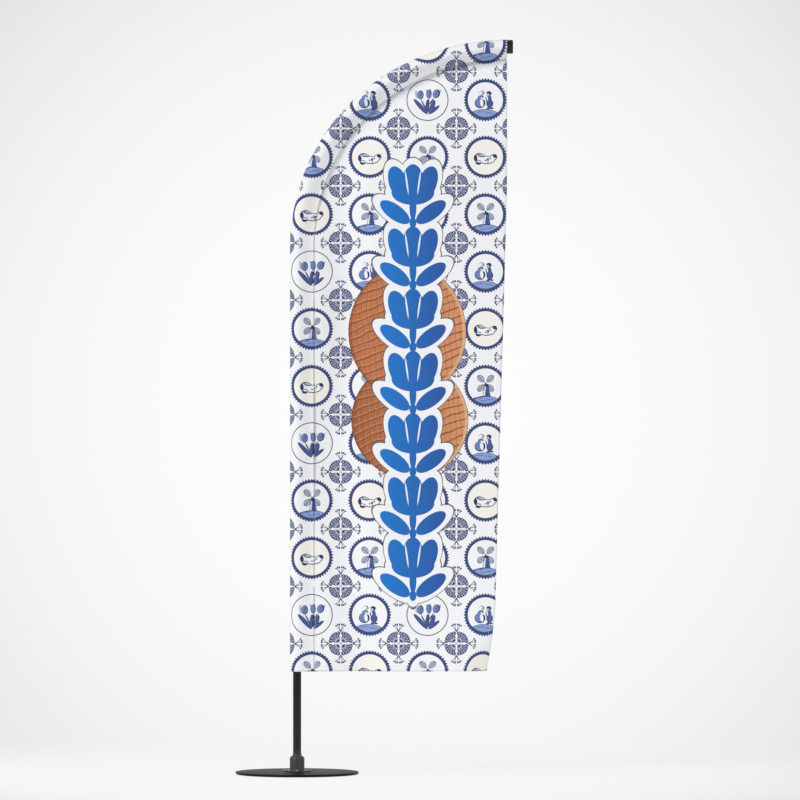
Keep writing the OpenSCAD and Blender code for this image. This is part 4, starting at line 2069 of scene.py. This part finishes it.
@dataclass(frozen=True)
class TurnedPart:
    """A part as a lathe makes it, from the outline of one side."""

    name: str
    corners: Sequence[tuple[float, ...]]
    closed: bool = True
    sides: int = 96
    merge: float = 0.000001

    def sweep(self, points: Sequence[tuple[float, float]]) -> None:
        """Extrudes the selected first ring along the outline, in edit mode.

        Args:
            points: The outline's points, starting with the first ring's.
        """
        out, up = points[0]
        for further_out, further_up in points[1:]:
            bpy.ops.mesh.extrude_region_move(
                TRANSFORM_OT_translate={"value": (0.0, 0.0, further_up - up)})
            ratio = further_out / out
            if abs(ratio - 1) > 1e-9:
                bpy.ops.transform.resize(value=(ratio, ratio, 1.0),
                                         center_override=(0.0, 0.0, further_up))
            out, up = further_out, further_up

    def close_ends(self, part: Piece) -> None:
        """Fills the last ring, which is selected, and then the first.

        Args:
            part: The part, in edit mode.
        """
        bpy.ops.mesh.edge_face_add()
        bpy.ops.mesh.select_all(action="DESELECT")
        bpy.ops.object.mode_set(mode="OBJECT")
        for index in range(self.sides):
            part.data.vertices[index].select = True
        bpy.ops.object.mode_set(mode="EDIT")
        bpy.ops.mesh.select_mode(type="VERT")
        bpy.ops.mesh.edge_face_add()

    def build(self) -> Piece:
        """Turns the part about the Z axis.

        Returns:
            The part.
        """
        points = rounded([Corner(*corner) for corner in self.corners], self.closed)
        alone()
        bpy.ops.mesh.primitive_circle_add(vertices=self.sides, radius=points[0][0],
                                          fill_type="NOTHING",
                                          location=(0.0, 0.0, points[0][1]))
        part = bpy.context.object
        part.name = part.data.name = self.name
        bpy.ops.object.mode_set(mode="EDIT")
        bpy.ops.mesh.select_all(action="SELECT")
        self.sweep(points + points[:1] if self.closed else points)
        if not self.closed:
            self.close_ends(part)
        bpy.ops.mesh.select_all(action="SELECT")
        bpy.ops.mesh.remove_doubles(threshold=self.merge)
        bpy.ops.mesh.normals_make_consistent(inside=False)
        bpy.ops.object.mode_set(mode="OBJECT")
        settle(part)
        soften(part)
        return part


@dataclass(frozen=True)
class Base:
    """The rubber mat, the steel plate, the hub and its four screws."""

    finishes: Finishes
    middle_hole: float = 0.006
    mat_first_grip: float = 0.014
    mat_grip: float = 0.007
    mat_groove: float = 0.0007
    mat_pitch: float = 0.012
    mat_margin: float = 0.004
    body_radius: float = 0.0235
    neck_radius: float = 0.0138
    bore: float = 0.011
    bearing_radius: float = 0.014
    bearing_top: float = 0.048
    shoulder: float = 0.0095
    cone: float = math.radians(55.0)
    foot_height: float = 0.004
    screw_count: int = 4
    screw_circle: float = 0.037
    screw_head: float = 0.00525
    screw_rise: float = 0.0033
    screw_shank: float = 0.0029
    screw_depth: float = 0.0035
    screw_face: float = 0.0031
    socket: float = 0.0023
    socket_depth: float = 0.002
    pinhole: float = 0.0006

    def mat(self) -> Piece:
        """Makes the mat, with ring-shaped grips on its underside.

        Returns:
            The piece.
        """
        low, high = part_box("base_mat")
        radius, floor, top = high[0], low[2], high[2]
        recess, out = floor + self.mat_groove, self.mat_first_grip
        corners = [(self.middle_hole, recess), (out, recess)]
        while out + self.mat_pitch < radius - self.mat_margin:
            corners += [(out, floor, 0.0002), (out + self.mat_grip, floor, 0.0002),
                        (out + self.mat_grip, recess), (out + self.mat_pitch, recess)]
            out += self.mat_pitch
        corners += [(out, floor, 0.0002), (radius, floor, 0.0006),
                    (radius, top, 0.0004), (self.middle_hole, top)]
        mat = TurnedPart("grip_mat", corners, closed=False, sides=128).build()
        dress(mat, self.finishes[Slot.MAT_RUBBER], "base")
        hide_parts("base_mat")
        return mat

    def plate(self) -> Piece:
        """Makes the round steel plate with its softened rim.

        Returns:
            The piece.
        """
        low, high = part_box("base_plate")
        radius = high[0]
        plate = TurnedPart("steel_plate", (
            (self.middle_hole, low[2]), (radius, low[2], 0.0012),
            (radius, high[2], 0.0018), (self.middle_hole, high[2])),
            closed=False, sides=160).build()
        dress(plate, self.finishes[Slot.BASE_PAINT], "base")
        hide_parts("base_plate")
        return plate

    def hub(self) -> Piece:
        """Makes the hub: flange, body, shoulder, cone and neck, bored for the bearings.

        Returns:
            The piece.
        """
        low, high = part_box("hub_housing")
        flange, floor, top = high[0], low[2], high[2]
        step = floor + self.foot_height
        slope = math.tan(self.cone)
        touch_out = self.body_radius - self.shoulder + self.shoulder * math.cos(self.cone)
        touch_up = self.bearing_top + self.shoulder * math.sin(self.cone)
        shoulder_up = touch_up - (self.body_radius - touch_out) / slope
        neck_up = touch_up + (touch_out - self.neck_radius) / slope
        hub = TurnedPart("hub_body", (
            (self.bearing_radius, floor), (flange, floor, 0.0003),
            (flange, step, 0.0010), (self.body_radius, step, 0.0022),
            (self.body_radius, shoulder_up, self.shoulder),
            (self.neck_radius, neck_up, 0.0030), (self.neck_radius, top, 0.0008),
            (self.bore, top, 0.0005), (self.bore, self.bearing_top, 0.0003),
            (self.bearing_radius, self.bearing_top)), sides=128).build()
        dress(hub, self.finishes[Slot.HUB_PAINT], "base")
        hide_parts("hub_housing")
        return hub

    def sample_screw(self, seat: float) -> Piece:
        """Models one button-head screw with its hexagon socket, on the hub's axis.

        Args:
            seat: The height of the face that its head rests on.

        Returns:
            The screw.
        """
        head, rise, shank = self.screw_head, self.screw_rise, self.screw_shank
        foot = seat - self.screw_depth
        sample = TurnedPart("hub_screw", (
            (self.pinhole, foot), (shank, foot, 0.0003), (shank, seat),
            (head, seat, 0.0002), (head, seat + 0.0009, 0.0006),
            (head * 0.78, seat + rise * 0.86, 0.0016),
            (self.screw_face, seat + rise, 0.0004), (self.pinhole, seat + rise)),
            closed=False, sides=48).build()
        alone()
        bpy.ops.mesh.primitive_cylinder_add(vertices=6, radius=self.socket,
                                            depth=2 * self.socket_depth,
                                            location=(0.0, 0.0, seat + rise))
        cutter = bpy.context.object
        cut = sample.modifiers.new("socket", "BOOLEAN")
        cut.operation = "DIFFERENCE"
        cut.object = cutter
        finish_modifiers(sample)
        bpy.data.objects.remove(cutter)
        soften(sample)
        return sample

    def screws(self) -> list[Piece]:
        """Makes the screws: one is modelled, and the others are copies of it.

        Returns:
            The screws.
        """
        low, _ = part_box("hub_housing")
        sample = self.sample_screw(low[2] + self.foot_height)
        screws = []
        for index in range(self.screw_count):
            screw = sample
            if index < self.screw_count - 1:
                screw = sample.copy()
                screw.data = sample.data.copy()
                bpy.context.scene.collection.objects.link(screw)
            turn = index * FULL_TURN / self.screw_count
            screw.location = (self.screw_circle * math.cos(turn),
                              self.screw_circle * math.sin(turn), 0.0)
            screw.rotation_euler = (0.0, 0.0, 0.4 + 1.1 * index)
            settle(screw)
            screw.name = f"hub_screw_{index + 1}"
            dress(screw, self.finishes[Slot.SCREW_STEEL], "base")
            screws.append(screw)
        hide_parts("flange_bolts")
        return screws

    def build(self) -> list[Piece]:
        """Builds the base."""
        return [self.mat(), self.plate(), self.hub(), *self.screws()]


@dataclass(frozen=True)
class PoleParts:
    """The spindle, the lowest tube, the tension collar with its peg, and the end cap."""

    finishes: Finishes
    centre_hole: float = 0.002
    shaft: float = 0.006
    stem: float = 0.008
    collar_low: float = 0.0655
    spigot: float = 0.01045
    groove: float = 0.00105
    groove_depth: float = 0.0021
    groove_lifts: tuple[float, float] = (0.030, 0.120)
    tube_bore: float = 0.0105
    plug: float = 0.017
    plug_length: float = 0.025
    cap_bore: float = 0.0062
    cap_depth: float = 0.002
    cap_groove: float = 0.0007
    cap_dish: float = 0.0019
    collar_play: float = 0.00005
    collar_step: float = 0.0005
    peg: float = 0.0025
    peg_head: float = 0.004
    peg_head_thick: float = 0.0009
    peg_root: float = 0.0010

    def spindle(self) -> Piece:
        """Makes the turning spindle: shaft, stem, collar, and spigot with ring grooves.

        Returns:
            The piece.
        """
        low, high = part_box("spindle")
        _, bearing_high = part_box("upper_inner_ring")
        pole_low, pole_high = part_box("lower_pole")
        collar, seat, step = pole_high[0], pole_low[2], bearing_high[2]
        corners = [
            (self.centre_hole, low[2]), (self.shaft, low[2], 0.0008),
            (self.shaft, step), (self.stem, step, 0.0003),
            (self.stem, self.collar_low), (collar, self.collar_low, 0.0008),
            (collar, seat, 0.0008), (self.spigot, seat)]
        inner = self.spigot - self.groove_depth
        for lift in self.groove_lifts:
            under, over = seat + lift - self.groove, seat + lift + self.groove
            corners += [(self.spigot, under, 0.0002), (inner, under),
                        (inner, over), (self.spigot, over, 0.0002)]
        corners += [(self.spigot, high[2], 0.0022), (self.centre_hole, high[2])]
        spindle = TurnedPart("turned_spindle", corners, closed=False, sides=72).build()
        dress(spindle, self.finishes[Slot.SPINDLE_STEEL], "spindle")
        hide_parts("spindle")
        return spindle

    def tube(self) -> Piece:
        """Makes the lowest tube of the pole, with both ends softened.

        Returns:
            The piece.
        """
        low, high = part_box("lower_pole")
        radius, middle = high[0], (low[2] + high[2]) / 2
        tube = TurnedPart("pole_tube", (
            (self.tube_bore, low[2], 0.0004), (radius, low[2], 0.0006),
            (radius, middle), (radius, high[2], 0.0006),
            (self.tube_bore, high[2], 0.0004))).build()
        dress(tube, self.finishes[Slot.POLE_COATING], "pole")
        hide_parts("lower_pole")
        return tube

    def cap(self) -> Piece:
        """Makes the end cap: a head with a grip groove and a dished face, and its plug.

        Returns:
            The piece.
        """
        low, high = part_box("tip_cap")
        radius, root = high[1], low[0] + self.plug_length
        face = high[0] - root
        waist, dish = radius - self.cap_groove, face - self.cap_dish
        cap = TurnedPart("end_cap", (
            (self.cap_bore, -self.plug_length),
            (self.plug, -self.plug_length, 0.0012),
            (self.plug, 0.0), (radius, 0.0, 0.0006),
            (radius, 0.0040, 0.0003), (waist, 0.0045, 0.0003),
            (waist, 0.0058, 0.0003), (radius, 0.0063, 0.0003),
            (radius, face, 0.0026), (radius * 0.70, face, 0.0006),
            (radius * 0.66, face - 0.0011, 0.0008), (0.0035, face - 0.0013, 0.0008),
            (0.0022, dish, 0.0004), (0.0007, dish),
            (0.0007, self.cap_depth), (self.cap_bore, self.cap_depth, 0.0004),
        )).build()
        cap.rotation_euler = (0.0, math.pi / 2, 0.0)
        cap.location = (root, 0.0, (low[2] + high[2]) / 2)
        settle(cap)
        dress(cap, self.finishes[Slot.CAP_PLASTIC], "pole")
        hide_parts("tip_cap")
        return cap

    def collar(self) -> Piece:
        """Makes the tension collar with the peg that holds the strap.

        Returns:
            The piece.
        """
        low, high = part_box("tension_collar")
        _, pole_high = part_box("lower_pole")
        bore, radius = pole_high[0] + self.collar_play, high[0]
        waist, reach = radius - self.collar_step, -low[1]
        ring = TurnedPart("peg_collar", (
            (bore, low[2], 0.0006), (radius, low[2], 0.0018),
            (radius, low[2] + 0.0045, 0.0003), (waist, low[2] + 0.0050, 0.0003),
            (waist, high[2] - 0.0050, 0.0003), (radius, high[2] - 0.0045, 0.0003),
            (radius, high[2], 0.0018), (bore, high[2], 0.0006)), sides=80).build()
        root, head = radius - self.peg_root, reach - self.peg_head_thick
        peg = TurnedPart("peg", (
            (0.0004, root), (self.peg, root), (self.peg, head, 0.0002),
            (self.peg_head, head, 0.0003), (self.peg_head, reach, 0.0005),
            (0.0004, reach)), closed=False, sides=40).build()
        peg.rotation_euler = (math.pi / 2, 0.0, 0.0)
        peg.location = (0.0, 0.0, (low[2] + high[2]) / 2)
        settle(peg)
        pick(ring)
        peg.select_set(True)
        bpy.ops.object.join()
        dress(ring, self.finishes[Slot.COLLAR_NYLON], "pole")
        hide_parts("tension_collar")
        return ring

    def build(self) -> list[Piece]:
        """Builds the pole's visible parts."""
        return [self.spindle(), self.tube(), self.cap(), self.collar()]


# ---- Studio ------------------------------------------------------------------------------


@dataclass(frozen=True)
class Lamp:
    """A square soft light, with its side in metres and its power in watts."""

    name: str
    place: Point
    aim: Point
    size: float
    power: float

    def hang(self) -> None:
        """Hangs the lamp and turns it to its aim."""
        data = bpy.data.lights.new(self.name, "AREA")
        data.shape = "SQUARE"
        data.size = self.size
        data.energy = self.power
        lamp = bpy.data.objects.new(self.name, data)
        bpy.context.scene.collection.objects.link(lamp)
        lamp.location = self.place
        way = Vector(self.aim) - Vector(self.place)
        lamp.rotation_euler = way.to_track_quat("-Z", "Y").to_euler()


@dataclass(frozen=True)
class Studio:
    """The pale floor, the soft light and the camera."""

    camera_away: float = 20.9
    camera_height: float = 1.18
    camera_side: float = 0.326
    aim_height: float = 1.185
    view_degrees: float = 6.94
    sensor: float = 36.0
    floor_radius: float = 3.0
    floor_drop: float = 0.0005
    floor_solid: float = 0.5
    floor_gone: float = 2.6
    floor_shade: float = 0.34
    floor_glow: float = 0.66
    sky_middle: Point = (0.0, 1.0, 0.0)
    sky_spread: float = 2.5
    sky_shades: tuple[tuple[float, int], ...] = (
        (0.0, 254), (0.045, 253), (0.10, 250), (0.15, 244), (0.185, 236), (0.215, 229),
        (0.40, 208), (1.0, 198))
    key: Lamp = Lamp("key_light", (-6.4, -6.0, 5.0), (0.3, 0.0, 1.3), 4.0, 395.0)
    strip: Lamp = Lamp("strip_light", (5.2, -3.4, 1.6), (0.0, 0.0, 0.4), 0.9, 36.0)

    def floor(self) -> None:
        """Lays the floor: a pale disc whose rim fades out."""
        alone()
        bpy.ops.mesh.primitive_circle_add(vertices=96, radius=self.floor_radius,
                                          fill_type="NGON",
                                          location=(0.0, 0.0, -self.floor_drop))
        floor = bpy.context.object
        floor.name = "studio_floor"
        settle(floor)
        finish = Finish("studio_floor", (self.floor_shade,) * 3, 0.9)
        place = finish.node("TexCoord").outputs["Object"]
        away = finish.node("VectorMath", {0: place}, operation="LENGTH").outputs["Value"]
        fade = finish.node("MapRange", {"Value": away, "From Min": self.floor_solid,
                                        "From Max": self.floor_gone},
                           interpolation_type="SMOOTHSTEP").outputs[0]
        clear = finish.node("BsdfTransparent").outputs[0]
        mix = finish.node("MixShader", {0: fade, 1: finish.shader.outputs[0], 2: clear})
        out = finish.tree.nodes["Material Output"]
        finish.tree.links.new(mix.outputs[0], out.inputs[0])
        finish.set("Specular IOR Level", 0.0)
        finish.set("Emission Color", (1.0, 1.0, 1.0, 1.0))
        finish.set("Emission Strength", self.floor_glow)
        floor.data.materials.append(finish.material)

    def sky(self) -> None:
        """Sets the light all round, with a bright, soft-edged field behind the flag."""
        world = bpy.data.worlds.new("studio_light")
        bpy.context.scene.world = world
        world.use_nodes = True
        nodes, links = world.node_tree.nodes, world.node_tree.links
        way, off = nodes.new("ShaderNodeTexCoord"), nodes.new("ShaderNodeVectorMath")
        scale, ramp = nodes.new("ShaderNodeMath"), nodes.new("ShaderNodeValToRGB")
        off.operation = "DISTANCE"
        off.inputs[1].default_value = self.sky_middle
        scale.operation = "MULTIPLY"
        scale.inputs[1].default_value = self.sky_spread
        links.new(way.outputs["Generated"], off.inputs[0])
        links.new(off.outputs["Value"], scale.inputs[0])
        links.new(scale.outputs[0], ramp.inputs[0])
        links.new(ramp.outputs[0], nodes["Background"].inputs[0])
        nodes["Background"].inputs[1].default_value = 1.0
        ramp.color_ramp.interpolation = "B_SPLINE"
        stops = ramp.color_ramp.elements
        while len(stops) < len(self.sky_shades):
            stops.new(0.5)
        for stop, (position, shade) in zip(stops, self.sky_shades):
            stop.position = position
            stop.color = (*linear(shade, shade, shade), 1.0)

    def camera(self) -> None:
        """Sets the camera up, level with the flag's middle and far off."""
        data = bpy.data.cameras.new("front_camera")
        data.sensor_width = self.sensor
        data.lens = self.sensor / 2 / math.tan(math.radians(self.view_degrees / 2))
        data.clip_end = 200.0
        camera = bpy.data.objects.new("front_camera", data)
        bpy.context.scene.collection.objects.link(camera)
        camera.location = (self.camera_side, -self.camera_away, self.camera_height)
        aim = Vector((self.camera_side, 0.0, self.aim_height))
        camera.rotation_euler = (aim - camera.location).to_track_quat("-Z", "Y").to_euler()
        bpy.context.scene.camera = camera

    def build(self) -> None:
        """Sets the studio up."""
        self.floor()
        self.sky()
        self.key.hang()
        self.strip.hang()
        self.camera()
        scene = bpy.context.scene
        scene.view_settings.view_transform = "Standard"
        scene.view_settings.look = "None"


# ---- The whole flag ----------------------------------------------------------------------


def report(group: str, pieces: Iterable[Piece]) -> None:
    """Logs each piece of a group."""
    for piece in pieces:
        log.info("%s: %s, %d faces", group, piece.name, len(piece.data.polygons))


def flag_shape() -> SailShape:
    """Takes the sail's main sizes from the CAD sleeve and hem.

    Returns:
        The shape.
    """
    sleeve_low, sleeve_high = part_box("pole_sleeve")
    _, hem_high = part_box("bottom_hem")
    radius, cloth, side_hem = -sleeve_low[0], 0.0003, 0.018
    path = PolePath(low=sleeve_low[2], tip_x=sleeve_high[0], tip_z=sleeve_high[2] - radius)
    return SailShape(path=path, sleeve_radius=radius - cloth,
                     bottom_reach=hem_high[0] + side_hem)


def main() -> None:
    """Builds the flag's looks, piece by piece."""
    logging.basicConfig(level=logging.INFO, format="%(message)s")
    cloth = FlagPrint().make()
    thread = Thread("white_thread", linear(244, 245, 248)).make()
    finishes = hard_finishes()
    log.info("dressed %d CAD nodes", dress_cad(finishes, cloth))
    report("base", Base(finishes).build())
    report("pole", PoleParts(finishes).build())
    shape = flag_shape()
    report("sail", Sail(shape, cloth, thread).build())
    report("sleeve", Sleeve(shape, cloth, thread).build())
    report("strap", Strap(finishes[Slot.STRAP_WEBBING]).build())
    Studio().build()


if __name__ == "__main__":
    main()
